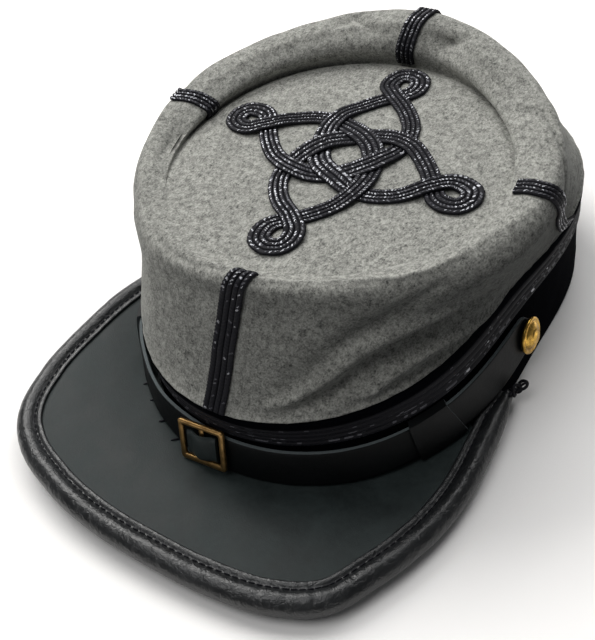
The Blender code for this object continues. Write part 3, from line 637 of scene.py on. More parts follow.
# ---------------------------------------------------------------- finishes
class Finish:
    """A material being put together from nodes."""

    def __init__(self, name):
        self.material = bpy.data.materials.new(name)
        self.material.use_nodes = True
        self.tree = self.material.node_tree
        self.shader = self.tree.nodes["Principled BSDF"]
        self.place = self.add("ShaderNodeTexCoord").outputs["Object"]

    def add(self, kind, sockets=None, **settings):
        made = self.tree.nodes.new(kind)
        for key, value in settings.items():
            setattr(made, key, value)
        for key, value in (sockets or {}).items():
            self.feed(made.inputs[key], value)
        return made

    def feed(self, socket, value):
        if isinstance(value, bpy.types.NodeSocket):
            self.tree.links.new(value, socket)
        else:
            socket.default_value = value

    def set(self, **values):
        for key, value in values.items():
            self.feed(self.shader.inputs[key.replace("_", " ")], value)

    def stretched(self, turn, stretch):
        """The place turned and stretched, for marks that run one way."""
        return self.add("ShaderNodeMapping", {"Vector": self.place, "Rotation": turn, "Scale": stretch},
                        vector_type='POINT').outputs[0]

    def noise(self, size, detail, rough, place=None, warp=0.0):
        """Noise with lumps of that size in millimetres."""
        return self.add("ShaderNodeTexNoise", {
            "Vector": place or self.place, "Scale": 1000.0 / size, "Detail": detail,
            "Roughness": rough, "Distortion": warp}).outputs["Fac"]

    def cells(self, size):
        """Small round cells of that size in millimetres."""
        return self.add("ShaderNodeTexVoronoi", {
            "Vector": self.place, "Scale": 1000.0 / size}).outputs["Distance"]

    def between(self, value, low, high, to_low=0.0, to_high=1.0):
        return self.add("ShaderNodeMapRange", {
            "Value": value, "From Min": low, "From Max": high,
            "To Min": to_low, "To Max": to_high}).outputs[0]

    def mix(self, share, first, second):
        made = self.add("ShaderNodeMix", data_type='RGBA')
        self.feed(made.inputs[0], share)
        self.feed(made.inputs[6], first)
        self.feed(made.inputs[7], second)
        return made.outputs[2]

    def compute(self, kind, first, second):
        """One step of arithmetic on values or sockets."""
        made = self.add("ShaderNodeMath", operation=kind)
        self.feed(made.inputs[0], first)
        self.feed(made.inputs[1], second)
        return made.outputs[0]

    def blend(self, *shares):
        """The sum of several values, each with its share."""
        parts = [self.compute('MULTIPLY', value, share) for value, share in shares]
        total = parts[0]
        for part in parts[1:]:
            total = self.compute('ADD', total, part)
        return total

    def bump(self, height, strength, depth, under=None):
        sockets = {"Height": height, "Strength": strength, "Distance": depth * MM}
        if under is not None:
            sockets["Normal"] = under
        return self.add("ShaderNodeBump", sockets).outputs[0]


def shade(colour, share=1.0):
    """A colour made lighter or darker, with its alpha."""
    return (*[min(channel * share, 1.0) for channel in colour], 1.0)


def wool_finish(name):
    """Heathered grey wool: light and dark fibres felted together, with a little lint."""
    cloth = bpy.context.scene.kepi.cloth
    made = Finish(name)
    fibres = made.noise(cloth.fibre_size, 4.0, 0.75, warp=0.3)
    strands = made.noise(cloth.fibre_size * 0.8, 4.0, 0.75,
                         place=made.stretched((0.3, 0.5, 0.7), (1.0, 0.45, 1.0)), warp=0.3)
    tufts = made.noise(cloth.fibre_size * 3.2, 3.0, 0.6, warp=0.4)
    speckle = made.blend((fibres, 0.36), (strands, 0.36), (tufts, 0.28))
    lint = made.noise(4.5, 4.0, 0.7, warp=0.6)
    patches = made.noise(17.0, 3.0, 0.6)
    mixed = made.mix(made.between(speckle, 0.39, 0.61), shade(cloth.wool_dark), shade(cloth.wool_light))
    linted = made.mix(made.between(lint, 0.5, 0.75, 0.0, 0.35), mixed, shade(cloth.wool_light, 0.85))
    worn = made.mix(made.between(patches, 0.35, 0.7, 0.0, 0.14), linted, shade(cloth.wool_dark, 1.6))
    fuzz = made.bump(speckle, 0.35, 0.25)
    fuzz = made.bump(made.noise(3.5, 3.0, 0.65), 0.3, 0.3, fuzz)
    made.set(Base_Color=worn, Roughness=0.95, Normal=fuzz, Sheen_Weight=0.25, Sheen_Roughness=0.5,
             Sheen_Tint=(0.9, 0.9, 0.85, 1.0), Specular_IOR_Level=0.15)
    return made.material


def band_finish(name):
    """Dark band cloth with a faint nap."""
    colour = bpy.context.scene.kepi.cloth.band_colour
    made = Finish(name)
    nap = made.noise(0.9, 3.0, 0.7)
    mixed = made.mix(made.between(nap, 0.35, 0.7), shade(colour, 0.7), shade(colour, 1.7))
    made.set(Base_Color=mixed, Roughness=0.95, Normal=made.bump(nap, 0.4, 0.25), Specular_IOR_Level=0.02)
    return made.material


def dark_thread_finish(name):
    """Blue-black braid thread."""
    colour = bpy.context.scene.kepi.braid.thread_colour
    made = Finish(name)
    ply = made.noise(0.45, 2.0, 0.6)
    mixed = made.mix(made.between(ply, 0.3, 0.75), shade(colour, 0.6), shade(colour, 1.8))
    made.set(Base_Color=mixed, Roughness=made.between(ply, 0.2, 0.8, 0.5, 0.75),
             Normal=made.bump(ply, 0.5, 0.12), Specular_IOR_Level=0.2)
    return made.material


def light_thread_finish(name, colour, metallic):
    """One of the light threads plaited through the braid."""
    made = Finish(name)
    ply = made.noise(0.35, 2.0, 0.6)
    mixed = made.mix(made.between(ply, 0.3, 0.7), shade(colour, 0.35), shade(colour))
    made.set(Base_Color=mixed, Roughness=0.42, Normal=made.bump(ply, 0.4, 0.1), Metallic=metallic)
    return made.material


def leather_finish(name, colour, rough, grain, mottle, wrinkle=0.0, level=0.4):
    """Dyed leather with mottling, a fine grain and, where it is worked, small wrinkles."""
    made = Finish(name)
    clouds = made.noise(14.0, 4.0, 0.6, warp=0.5)
    fine = made.noise(2.2, 4.0, 0.65)
    spots = made.blend((clouds, 0.65), (fine, 0.35))
    mixed = made.mix(made.between(spots, 0.36, 0.64),
                     shade(colour, 1.0 - mottle), shade(colour, 1.0 + mottle))
    normal = made.bump(made.cells(grain), 0.25, 0.12)
    normal = made.bump(made.noise(1.3, 3.0, 0.6), 0.22, 0.15, normal)
    if wrinkle:
        normal = made.bump(made.noise(3.2, 3.0, 0.6, warp=1.2), wrinkle, 0.5, normal)
    made.set(Base_Color=mixed, Roughness=made.between(spots, 0.3, 0.7, rough - 0.07, rough + 0.09),
             Normal=normal, Specular_IOR_Level=level)
    return made.material


def cut_edge_finish(name):
    """Leather's paler cut edge."""
    colour = bpy.context.scene.kepi.leather.cut_edge
    made = Finish(name)
    fibres = made.noise(0.6, 3.0, 0.7)
    mixed = made.mix(fibres, shade(colour, 0.5), shade(colour, 1.3))
    made.set(Base_Color=mixed, Roughness=0.8, Normal=made.bump(fibres, 0.4, 0.15))
    return made.material


def metal_finish(name, colour, dark, rough, worn):
    """Worn metal: brighter where it is rubbed, darker in its patina."""
    made = Finish(name)
    patina = made.noise(3.0, 4.0, 0.65)
    pits = made.noise(0.6, 2.0, 0.6)
    mixed = made.mix(made.between(patina, 0.35, 0.65, 0.0, worn), shade(colour), shade(dark))
    made.set(Base_Color=mixed, Metallic=1.0, Roughness=made.between(patina, 0.3, 0.7, rough, rough + 0.18),
             Normal=made.bump(pits, 0.18, 0.1))
    return made.material


def finish_named(name, maker, *values):
    """The material of that name, made once."""
    return bpy.data.materials.get(name) or maker(name, *values)


def wool():
    return finish_named("grey_wool", wool_finish)


def band_cloth():
    return finish_named("dark_band_cloth", band_finish)


def braid_threads():
    braid = bpy.context.scene.kepi.braid
    return [finish_named("braid_thread", dark_thread_finish),
            finish_named("silver_thread", light_thread_finish, braid.silver_colour, 0.75),
            finish_named("dull_thread", light_thread_finish, braid.dull_colour, 0.3)]


def trim_leather():
    colour = bpy.context.scene.kepi.leather.trim_colour
    return finish_named("trim_finish", leather_finish, colour, 0.34, 0.55, 0.35, 0.9, 0.6)


def strap_leathers():
    """The strap's leather, its black darkened further by painted shade, and its cut edge."""
    colour = bpy.context.scene.kepi.leather.strap_colour_and_shade
    return [finish_named("strap_finish", leather_finish, colour, 0.5, 0.5, 0.3, 0.0, 0.2),
            finish_named("cut_leather_edge", cut_edge_finish)]


# ---------------------------------------------------------------- braid
def plaited(middle, side, normal, width, thick, bottom, run, seed, share):
    """Skin of a flat braid of two cords, and its faces' threads: 0 dark, 1 silver and 2 dull.

    Each cord has two ridges. Every ridge is a row of short strands, and share of the strands are light.
    """
    braid = bpy.context.scene.kepi.braid
    tops = 33
    across = np.linspace(-1.0, 1.0, tops)
    ridge_at = (across + 1.0) * 2.0
    ridge = np.minimum(np.floor(ridge_at), 3).astype(int)
    part = ridge_at - ridge
    bow = np.sqrt(np.maximum(1.0 - (2.0 * part - 1.0) ** 2, 0.0))
    floor = np.where(np.abs(across) < 0.26, 0.22, 0.42)
    lean = np.where(ridge % 2 == 0, 1.0, -1.0) * (part - 0.5) * 0.9
    phase = run[:, None] / braid.plait_length + lean[None, :]
    lobe = 0.5 - 0.5 * np.cos(2.0 * np.pi * phase)
    rise = thick * (floor + (1.0 - floor) * bow)[None, :] * (0.86 + 0.18 * lobe)
    edge = 1.0 + 0.05 * (lobe - 0.5) * (np.abs(across) > 0.9)[None, :]
    half = np.broadcast_to(width, run.shape)[:, None] / 2.0
    top = (middle[:, None] + side[:, None] * (across[None, :] * edge * half)[..., None]
           + normal[:, None] * (bottom + rise)[..., None])
    under = [middle + side * sign * half + normal * bottom for sign in (0.94, -0.94)]
    grid = np.concatenate([top, np.stack(under, 1)], 1)
    number = np.floor(phase).astype(int)
    table = np.random.RandomState(seed).uniform(0.0, 1.0, (5, 4096))
    draws = table[:, (number * 4 + ridge[None, :]) % 4096]
    along = (phase - number - 0.5 - 0.22 * (draws[0] - 0.5)) / (0.14 + 0.14 * draws[1])
    beside = (2.0 * part - 1.0 - 0.3 * (draws[2] - 0.5)) / (0.28 + 0.34 * draws[3])
    share = np.broadcast_to(share, run.shape)[:, None]
    lit = (along ** 2 + beside ** 2 < 1.0) & (draws[4] < share)
    kind = np.where(lit, np.where(draws[4] < share * braid.silver_share, 1, 2), 0)
    marks = np.zeros((len(run) - 1, tops + 2), int)
    marks[:, :tops - 1] = kind[:-1, :-1]
    return grid, marks


def make_strip(name, row, seed):
    """Lay one braid strip up the wall and over the rim."""
    braid = bpy.context.scene.kepi.braid
    foot, middle, crest, end, end_level, width, low_shaded_share, high_glint_share = row
    level = np.linspace(0.12, end_level, 900)
    part = np.minimum(level / CREST, 1.0)
    angle = (foot * (1.0 - part) * (1.0 - 2.0 * part) + middle * 4.0 * part * (1.0 - part)
             + crest * part * (2.0 * part - 1.0))
    angle = angle + (end - crest) * np.maximum(level - CREST, 0.0) / (end_level - CREST)
    run = lengths_along(wall_point(angle, level))
    at = np.linspace(0.0, run[-1], int(run[-1] / braid.step) + 1)
    angle, level = np.interp(at, run, angle), np.interp(at, run, level)
    line = wall_point(angle, level)
    side = unit(wall_plain(angle + 2.0, level) - wall_plain(angle - 2.0, level))
    # fewer light threads low on the wall are painted shade, more on the rim painted glints
    share = low_shaded_share + (high_glint_share - low_shaded_share) * np.clip(level - STRIP_CHANGE, 0.0, 1.0)
    grid, marks = plaited(line, side, wall_normal(angle, level), width, BRAID_THICK, BRAID_SEAT,
                          at, seed, share)
    piece = Cut().grid(grid, round_columns=True, caps=True, finish=marks).make(
        name + "_braid", braid_threads(), "braid", 70.0)
    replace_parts(piece, name)


def knot_line():
    """The knot's closed line over the disc, in plan."""
    share = np.linspace(0.0, 1.0, 500)[:-1]
    turn, reach = run_column(KNOT_ROWS, 0, share), run_column(KNOT_ROWS, 1, share)
    legs = []
    for number in range(4):
        angle = 90.0 * (4 - number) % 360.0 + turn
        angle = angle + KNOT_TURN + KNOT_SKEW * np.cos(2.0 * np.radians(angle))
        legs.append(scaled(outward(angle), reach) + KNOT_MIDDLE)
    return np.concatenate(legs)


def crossings(line):
    """Pairs of steps where a closed line in plan crosses itself."""
    flat = line[:, :2]
    after = np.roll(flat, -1, axis=0)
    found = []
    for i in range(len(flat)):
        first = after[i] - flat[i]
        for j in np.nonzero(np.linalg.norm(flat - flat[i], axis=1) < 2.5)[0]:
            if j <= i + 12 or j - i > len(flat) - 12:
                continue
            second = after[j] - flat[j]
            turn = first[0] * second[1] - first[1] * second[0]
            if abs(turn) < 1e-9:
                continue
            gap = flat[j] - flat[i]
            s = (gap[0] * second[1] - gap[1] * second[0]) / turn
            t = (gap[0] * first[1] - gap[1] * first[0]) / turn
            if 0.0 <= s < 1.0 and 0.0 <= t < 1.0:
                found.append((i, int(j)))
    return found


# ---------------------------------------------------------------- settings
def colour_setting(name, description, colour):
    return FloatVectorProperty(name=name, description=description, subtype='COLOR', size=3,
                               min=0.0, max=1.0, default=colour)


class KepiClothSettings(bpy.types.PropertyGroup):
    """Cloth of the crown and the band."""
    wool_light: colour_setting("Light fibre", "Light fibres of the grey wool", (0.52, 0.52, 0.478))
    wool_dark: colour_setting("Dark fibre", "Dark fibres of the grey wool", (0.055, 0.056, 0.052))
    band_colour: colour_setting("Band", "Dark cloth of the band", (0.0026, 0.003, 0.0045))
    fibre_size: FloatProperty(name="Fibre size", description="Size of the wool's speckles in millimetres",
                              default=0.75, min=0.2, max=5.0)
    around: IntProperty(name="Steps round", description="Steps of the mesh round the crown",
                        default=420, min=56, max=900)


class KepiBraidSettings(bpy.types.PropertyGroup):
    """Braid of the strips, the knot and the band's top."""
    thread_colour: colour_setting("Thread", "Blue-black thread of the braid", (0.007, 0.007, 0.010))
    silver_colour: colour_setting(
        "Silver", "Light thread plaited through the braid", (0.55, 0.56, 0.60))
    dull_colour: colour_setting("Dull", "Duller light thread of the braid", (0.11, 0.11, 0.13))
    silver_share: FloatProperty(name="Silver share", description="Share of the light strands that are silver",
                                subtype='FACTOR', default=0.5, min=0.0, max=1.0)
    plait_length: FloatProperty(name="Plait length", description="Length of one strand's bump in millimetres",
                                default=1.25, min=0.4, max=5.0)
    step: FloatProperty(name="Step", description="Length of one step of the braid's mesh in millimetres",
                        default=0.34, min=0.2, max=2.0)


class KepiLeatherSettings(bpy.types.PropertyGroup):
    """Leather of the peak, its binding and the strap."""
    peak_colour: colour_setting("Peak", "Leather of the peak", (0.019, 0.026, 0.026))
    trim_colour: colour_setting("Binding", "Leather of the peak's binding", (0.011, 0.012, 0.013))
    # black leather made darker than the leather is: partly its own colour, partly painted shade where the
    # strap lies in shadow
    strap_colour_and_shade: colour_setting("Strap", "Leather of the chin strap", (0.0020, 0.0028, 0.0033))
    cut_edge: colour_setting("Cut edge", "Pale cut edge of the strap", (0.10, 0.12, 0.125))


class KepiMetalSettings(bpy.types.PropertyGroup):
    """Brass and gilt of the fittings."""
    brass: colour_setting("Brass", "Aged brass of the buckle", (0.50, 0.31, 0.12))
    gilt: colour_setting("Gilt", "Gilt of the buttons", (0.95, 0.58, 0.12))


class KepiStageSettings(bpy.types.PropertyGroup):
    """Floor and lights."""
    floor_colour: colour_setting("Floor", "Pale floor", (0.86, 0.85, 0.84))
    key_power: FloatProperty(name="Key light", description="Power of the large soft light", unit='POWER',
                             default=13.2, min=0.0)
    above_power: FloatProperty(name="Upper light", description="Power of the weak light from above the front",
                               unit='POWER', default=6.0, min=0.0)


class KepiSettings(bpy.types.PropertyGroup):
    """All of the cap's sizes and colours."""
    cloth: PointerProperty(type=KepiClothSettings, name="Cloth", description="Cloth of the crown and band")
    braid: PointerProperty(type=KepiBraidSettings, name="Braid", description="Strips, knot and band trim")
    leather: PointerProperty(type=KepiLeatherSettings, name="Leather", description="Peak, binding and strap")
    metal: PointerProperty(type=KepiMetalSettings, name="Metal", description="Buckle and buttons")
    stage: PointerProperty(type=KepiStageSettings, name="Stage", description="Floor and lights")


# ---------------------------------------------------------------- operators
class KEPI_OT_crown_wall(bpy.types.Operator):
    """Sew the wool wall with its folds and soft rim"""
    bl_idname = "kepi.crown_wall"
    bl_label = "Crown Wall"

    def execute(self, context):
        around = context.scene.kepi.cloth.around
        angle = np.linspace(0.0, 360.0, around, endpoint=False)[:, None]
        outer = np.concatenate([np.linspace(0.0, 0.6, 10)[:-1], np.linspace(0.6, LAST_LEVEL, 92)])[None, :]
        inner = np.linspace(LAST_LEVEL, 0.5, 24)[None, :]
        face = wall_point(angle, outer)
        roll = np.exp(-((outer - 0.2) / 0.16) ** 2) - 0.7 * np.exp(-(outer / 0.05) ** 2)
        pucker = 1.0 + 0.35 * np.sin(np.radians(angle) * 61.0) * np.sin(np.radians(angle) * 17.0)
        face += scaled(outward(angle), 0.5 * roll * pucker)
        back = wall_point(angle, inner, CLOTH)
        foot = wall_plain(angle, 0.0) - scaled(outward(angle), HEM)
        grid = np.concatenate([face, back, foot], 1)
        piece = Cut().grid(grid, round_rows=True, round_columns=True).make(
            "crown_wall_wool", [wool()], "wool", 80.0)
        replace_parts(piece, "crown_wall")
        return {'FINISHED'}


class KEPI_OT_crown_top(bpy.types.Operator):
    """Lay the wool disc on top"""
    bl_idname = "kepi.crown_top"
    bl_label = "Crown Top"

    def execute(self, context):
        around = context.scene.kepi.cloth.around
        angle = np.linspace(0.0, 360.0, around, endpoint=False)[:, None]
        seam = wall_point(angle, LAST_LEVEL)
        reach = np.linalg.norm((seam - DISC_MIDDLE)[..., :2], axis=-1)
        sink = seam[..., 2] - disc_height(seam)
        rings = []
        for share, depth in ([(s, 0.0) for s in 1.0 - 0.98 * np.linspace(1.0, 0.0, 70) ** 1.25]
                             + [(s, CLOTH) for s in np.linspace(0.99, 0.02, 20)]):
            ring = scaled(outward(angle), reach * share) + DISC_MIDDLE
            ring[..., 2] = disc_height(ring) - depth + sink * math.exp(-((1.0 - share) / 0.035) ** 2)
            soft = 0.30 * cloud(ring, 15.0, 1.7) + 0.12 * cloud(ring, 5.5, 4.1)
            ring[..., 2] += soft * np.clip((1.0 - share) * 6.0, 0.0, 1.0)
            rings.append(ring)
        grid = np.concatenate(rings, 1)
        piece = Cut().grid(grid.transpose(1, 0, 2), round_columns=True, caps=True).make(
            "crown_top_wool", [wool()], "wool", 60.0)
        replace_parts(piece, "crown_top")
        return {'FINISHED'}


def make_band_cloth():
    """The band's dark cloth, closed over at its foot."""
    angle = np.linspace(0.0, 360.0, 360, endpoint=False)[:, None]
    top = band_top(angle)
    share = np.linspace(0.0, 1.0, 26)[None, :]
    face = band_point(angle, share * top)
    soft = (0.35 * cloud(face, 14.0, 2.2) + 0.15 * cloud(face, 5.0)) * np.sin(np.pi * share) ** 0.5
    face = band_point(angle, share * top, np.minimum(soft, 0.25))
    face[:, 0] = band_point(angle, 0.0, -0.5)[:, 0]
    face[:, 0, 2] = 0.0
    back = band_point(angle, np.linspace(1.0, 0.0, 12)[None, :] * top, -BAND_WALL)
    grid = np.concatenate([face, back], 1)
    piece = Cut().grid(grid, round_rows=True, round_columns=True).make(
        "band_cloth_wool", [band_cloth()], "band_cloth", 70.0)
    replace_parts(piece, "band")


def make_band_braid():
    """The braid round the band: a rolled strip, then four cords with thin light lines on the lower ones."""
    around = np.linspace(0.0, 360.0, TRIM_AROUND, endpoint=False)
    run = np.radians(around) * TRIM_REACH
    down = np.concatenate([np.linspace(0.0, TRIM_ROLL, 16),
                           np.arange(TRIM_ROLL + TRIM_STEP, TRIM_HEIGHT, TRIM_STEP)])
    rolled = down <= TRIM_ROLL
    cord = (down - TRIM_ROLL) / (TRIM_HEIGHT - TRIM_ROLL) * TRIM_CORDS
    roll = np.sqrt(np.maximum(1.0 - (2.0 * down / TRIM_ROLL - 1.0) ** 2, 0.0))
    rise = np.where(rolled, 0.35 + 1.25 * roll, 0.4 + 0.65 * np.sqrt(np.abs(np.sin(np.pi * cord))))
    phase = run[:, None] / TRIM_STRAND + np.where(rolled, 0.0, down * 0.5)[None, :]
    plait = 0.5 - 0.5 * np.cos(2.0 * np.pi * phase)
    rise = rise[None, :] * np.where(rolled[None, :], 0.98 + 0.02 * plait, 0.88 + 0.14 * plait)
    height = band_top(around)[:, None] - down[None, :]
    soft = 0.3 * cloud(band_point(around[:, None], height), 11.0, 0.9) * rolled[None, :] * roll[None, :]
    front = band_point(around[:, None], height, BRAID_SEAT + rise + soft)
    rear = band_point(around[:, None], height[:, [-1, 0]], BRAID_SEAT)
    grid = np.concatenate([front, rear], 1)
    marks = np.zeros((len(around), grid.shape[1]), int)
    draws = np.random.RandomState(5).uniform(0.0, 1.0, (1024, len(down)))
    strand = np.floor(run / TRIM_STRAND + 0.5).astype(int)
    silver, light, dull = TRIM_SHARES
    for column, at in enumerate(down[:-1]):
        line = [number for number, low in enumerate(TRIM_LINES) if low <= at < low + TRIM_LINE_WIDTH]
        pick = draws[strand % 1024, line[0] if line else column]
        if at < TRIM_ROLL:
            marks[:, column] = 3
        elif line:
            marks[:, column] = np.where(pick < silver, 1, np.where(pick < light, 2, 0))
        else:
            marks[:, column] = np.where(pick < dull, 2, 0)
    piece = Cut().grid(grid, round_rows=True, round_columns=True, finish=marks).make(
        "band_braid_cords", braid_threads() + [band_cloth()], "braid", 70.0)
    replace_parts(piece, "band_braid")


class KEPI_OT_band(bpy.types.Operator):
    """Sew the dark band and the corded braid round its top"""
    bl_idname = "kepi.band"
    bl_label = "Band"

    def execute(self, context):
        make_band_cloth()
        make_band_braid()
        return {'FINISHED'}


class KEPI_OT_strips(bpy.types.Operator):
    """Lay the four braid strips over the wall"""
    bl_idname = "kepi.strips"
    bl_label = "Braid Strips"

    def execute(self, context):
        for seed, (name, row) in enumerate(STRIP_ROWS.items()):
            make_strip(name, row, 20 + seed)
        return {'FINISHED'}


def knot_lift(line, step):
    """How far each point of the knot is lifted where it passes over itself, over and under by turns."""
    count = len(line)
    meets = sorted([(i, k) for k, pair in enumerate(crossings(line)) for i in pair])
    lift = np.zeros(count)
    steps = np.arange(count)
    passed = {}
    for order, (i, k) in enumerate(meets):
        above = 1 - passed[k] if k in passed else order % 2
        passed.setdefault(k, above)
        if above:
            gap = np.abs(np.mod(steps - i + count // 2, count) - count // 2) * step
            lift = np.maximum(lift, KNOT_LIFT * np.clip(1.45 - gap / (1.15 * KNOT_WIDTH), 0.0, 1.0))
    kernel = np.hanning(15)
    return np.convolve(np.concatenate([lift[-7:], lift, lift[:7]]), kernel / kernel.sum(), "valid")


class KEPI_OT_knot(bpy.types.Operator):
    """Lay the braided knot on the disc, over and under itself"""
    bl_idname = "kepi.knot"
    bl_label = "Top Knot"

    def execute(self, context):
        step = context.scene.kepi.braid.step
        line = knot_line()
        line = even_line(np.concatenate([line, line[:1]]), step)[:-1]
        lift = knot_lift(line, step)
        along = unit(np.roll(line, -1, axis=0) - np.roll(line, 1, axis=0))
        side = unit(np.cross(along, np.array((0.0, 0.0, 1.0))))
        up = np.broadcast_to(np.array((0.0, -math.sin(DISC_TILT), math.cos(DISC_TILT))), line.shape)
        line[:, 2] = disc_height(line) + lift
        reach = np.linalg.norm(line[:, :2] - KNOT_MIDDLE[:2], axis=1)
        width = (KNOT_WIDTH + KNOT_SPREAD * np.exp(-(np.maximum(reach - 11.0, 0.0) / 9.0) ** 2)
                 + CURL_SPREAD * np.clip((reach - 40.0) / 7.0, 0.0, 1.0))
        grid, marks = plaited(line, side, up, width, BRAID_THICK, KNOT_SEAT,
                              np.arange(len(line)) * step, 31, 0.9)
        grid[..., 2] += disc_height(grid) - disc_height(line)[:, None]
        marks = np.concatenate([marks, marks[-1:]])
        piece = Cut().grid(grid, round_rows=True, round_columns=True, finish=marks).make(
            "knot_braid", braid_threads(), "braid", 70.0)
        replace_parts(piece, "top_knot")
        return {'FINISHED'}


class KEPI_OT_peak(bpy.types.Operator):
    """Cut the peak's leather"""
    bl_idname = "kepi.peak"
    bl_label = "Peak"

    def execute(self, context):
        angle = edge_angles(PEAK_ENDS[0] + 0.5, PEAK_ENDS[1] - 0.5, 1.2)[:, None]
        part = np.linspace(0.0, 1.0, 46)[None, :]
        grid = np.concatenate([peak_face(angle, part), peak_face(angle, part[:, ::-1], PEAK_THICK)], 1)
        colour = context.scene.kepi.leather.peak_colour
        finish = leather_finish("peak_leather", colour, 0.50, 0.5, 0.32, 0.0, 0.20)
        piece = Cut().grid(grid, round_columns=True, caps=True).make(
            "peak_leather", [finish], "peak_leather", 50.0)
        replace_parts(piece, "peak")
        return {'FINISHED'}


class KEPI_OT_binding(bpy.types.Operator):
    """Roll the leather binding round the peak's edge"""
    bl_idname = "kepi.binding"
    bl_label = "Peak Binding"

    def execute(self, context):
        angle = edge_angles(*BINDING_ENDS, 0.75)
        scale = binding_scale(angle)
        low = np.maximum(scale, BINDING_LEAST_RISE)
        run = lengths_along(edge_point(angle))
        place = np.linspace(0.0, 1.0, 61)[:-1]
        closed = np.concatenate([BINDING_SECTION, BINDING_SECTION[:1]])
        inward, up = run_column(closed, 0, place), run_column(closed, 1, place)
        grid = edge_point(angle[:, None], inward[None, :] * scale[:, None], up[None, :] * low[:, None])
        roll = np.clip(1.0 - np.abs(place - 0.32) / 0.30, 0.0, 1.0) ** 0.5
        wave = cloud(np.stack([run / 2.6, np.zeros_like(run), np.zeros_like(run)], -1), 1.0, 0.4)
        corner = (0.35 + 1.1 * np.exp(-((angle - 38.0) / 14.0) ** 2)
                  + 0.6 * np.exp(-((angle + 48.0) / 12.0) ** 2))
        crimp = 0.16 * (wave * corner)[:, None] * roll[None, :]
        heart = edge_point(angle, 5.0 * scale, -2.4 * low)[:, None]
        grid = grid + unit(grid - heart) * (crimp + 0.12 * cloud(grid, 9.0, 6.0) * roll)[..., None]
        piece = Cut().grid(grid, round_columns=True, caps=True).make(
            "peak_binding_leather", [trim_leather()], "binding_leather", 60.0)
        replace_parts(piece, "peak_binding")
        return {'FINISHED'}


def bar_stitches(middles, along, length, radius, rise):
    """Short straight stitches that dip into the leather at both ends."""
    cut = Cut()
    part = np.linspace(-1.0, 1.0, 7)
    for middle, way in zip(middles, along):
        points = middle + np.outer(part * length / 2.0, way)
        points[:, 2] += rise * (1.0 - 2.0 * part ** 4)
        cut.grid(tube(points, radius * (1.0 - 0.3 * part ** 2), 6), round_columns=True, caps=True)
    return cut


class KEPI_OT_stitches(bpy.types.Operator):
    """Sew the binding down, the bar stitches on the peak and the tuft of thread at its end"""
    bl_idname = "kepi.stitches"
    bl_label = "Stitches"

    def execute(self, context):
        thread = braid_threads()[0]
        angle = edge_angles(BINDING_ENDS[0] + 3.0, BINDING_ENDS[1] - 3.0, STITCH_PITCH)
        scale = binding_scale(angle)
        groove = BINDING_GROOVE * scale
        middles = edge_point(angle, groove, 0.65 * np.maximum(scale, BINDING_LEAST_RISE) + 0.1)
        along = unit(edge_point(angle + 0.5, groove) - edge_point(angle - 0.5, groove))
        bar_stitches(middles, along, 2.3, 0.27, 0.2).make("binding_stitches", [thread], "braid", 50.0)

        face = peak_face(np.linspace(-60.0, 0.0, 240)[:, None],
                         np.linspace(0.02, 0.6, 160)[None, :]).reshape(-1, 3)
        near = [face[np.argmin(np.linalg.norm((face - spot)[:, :2], axis=1))] for spot in PEAK_STITCHES]
        way = np.broadcast_to(unit(np.array((0.75, 0.66, 0.0))), (len(near), 3))
        bar_stitches(near, way, 3.4, 0.42, 0.35).make("peak_stitches", [thread], "braid", 50.0)

        turn = np.linspace(0.0, 2.0 * np.pi, 97)[:-1]
        flat = np.stack([np.sin(turn) + 2.0 * np.sin(2.0 * turn),
                         np.cos(turn) - 2.0 * np.cos(2.0 * turn)], -1)
        axes = unit(np.array(((0.33, 0.94, 0.0), (0.45, -0.15, 0.88))))
        out = unit(np.cross(axes[0], axes[1]))
        knot = TUFT_MIDDLE + 1.4 * (flat @ axes - np.outer(np.sin(3.0 * turn), out))
        knot = knot + 0.35 * np.stack([cloud(knot, 2.5, k) for k in (0.3, 1.3, 2.3)], -1)
        cut = Cut().grid(tube(knot, 0.62, 8), round_rows=True, round_columns=True)
        part = np.linspace(0.0, 1.0, 14)[:, None]
        for tip in TUFT_TIPS:
            bend = np.array((0.0, 0.0, 0.9)) * np.sin(np.pi * part)
            cut.grid(tube(TUFT_MIDDLE + np.array(tip) * part + bend, 0.5, 8), round_columns=True, caps=True)
        cut.make("thread_tuft", [thread], "braid", 60.0)
        return {'FINISHED'}


class KEPI_OT_strap(bpy.types.Operator):
    """Cut the chin strap with its pale edges"""
    bl_idname = "kepi.strap"
    bl_label = "Chin Strap"

    def execute(self, context):
        angle = np.linspace(*STRAP_ENDS, 420)
        run = lengths_along(strap_point(angle, 0.5))
        end = np.minimum(run, run[-1] - run) / 8.0
        rounded = 0.5 * np.sqrt(np.maximum(1.0 - (1.0 - np.maximum(end, 0.02)) ** 2, 0.0))
        half = np.where(end >= 1.0, 0.5, rounded)
        across = np.array((-1.0, -0.995, -0.96, -0.9) + tuple(np.linspace(-0.82, 0.82, 17))
                          + (0.9, 0.96, 0.995, 1.0))
        sunk = np.array((0.55, 0.22, 0.06, 0.0) + (0.0,) * 17 + (0.0, 0.06, 0.22, 0.55))
        share = 0.5 + half[:, None] * across[None, :]
        face = strap_point(angle[:, None], share, -sunk[None, :])
        face += scaled(outward(angle[:, None]), 0.10 * cloud(face, 7.0, 3.0))
        back = strap_point(angle[:, None], share[:, ::-1], sunk[::-1][None, :] * 0.4 - STRAP_THICK)
        grid = np.concatenate([face, back], 1)
        marks = np.zeros((len(angle) - 1, grid.shape[1]), int)
        tops = len(across)
        for column in (tops - 2, tops - 1, tops, grid.shape[1] - 1, 0):
            marks[:, column] = 1
        piece = Cut().grid(grid, round_columns=True, caps=True, finish=marks).make(
            "chin_strap_leather", strap_leathers(), "strap_leather", 50.0)
        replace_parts(piece, "chin_strap")
        return {'FINISHED'}


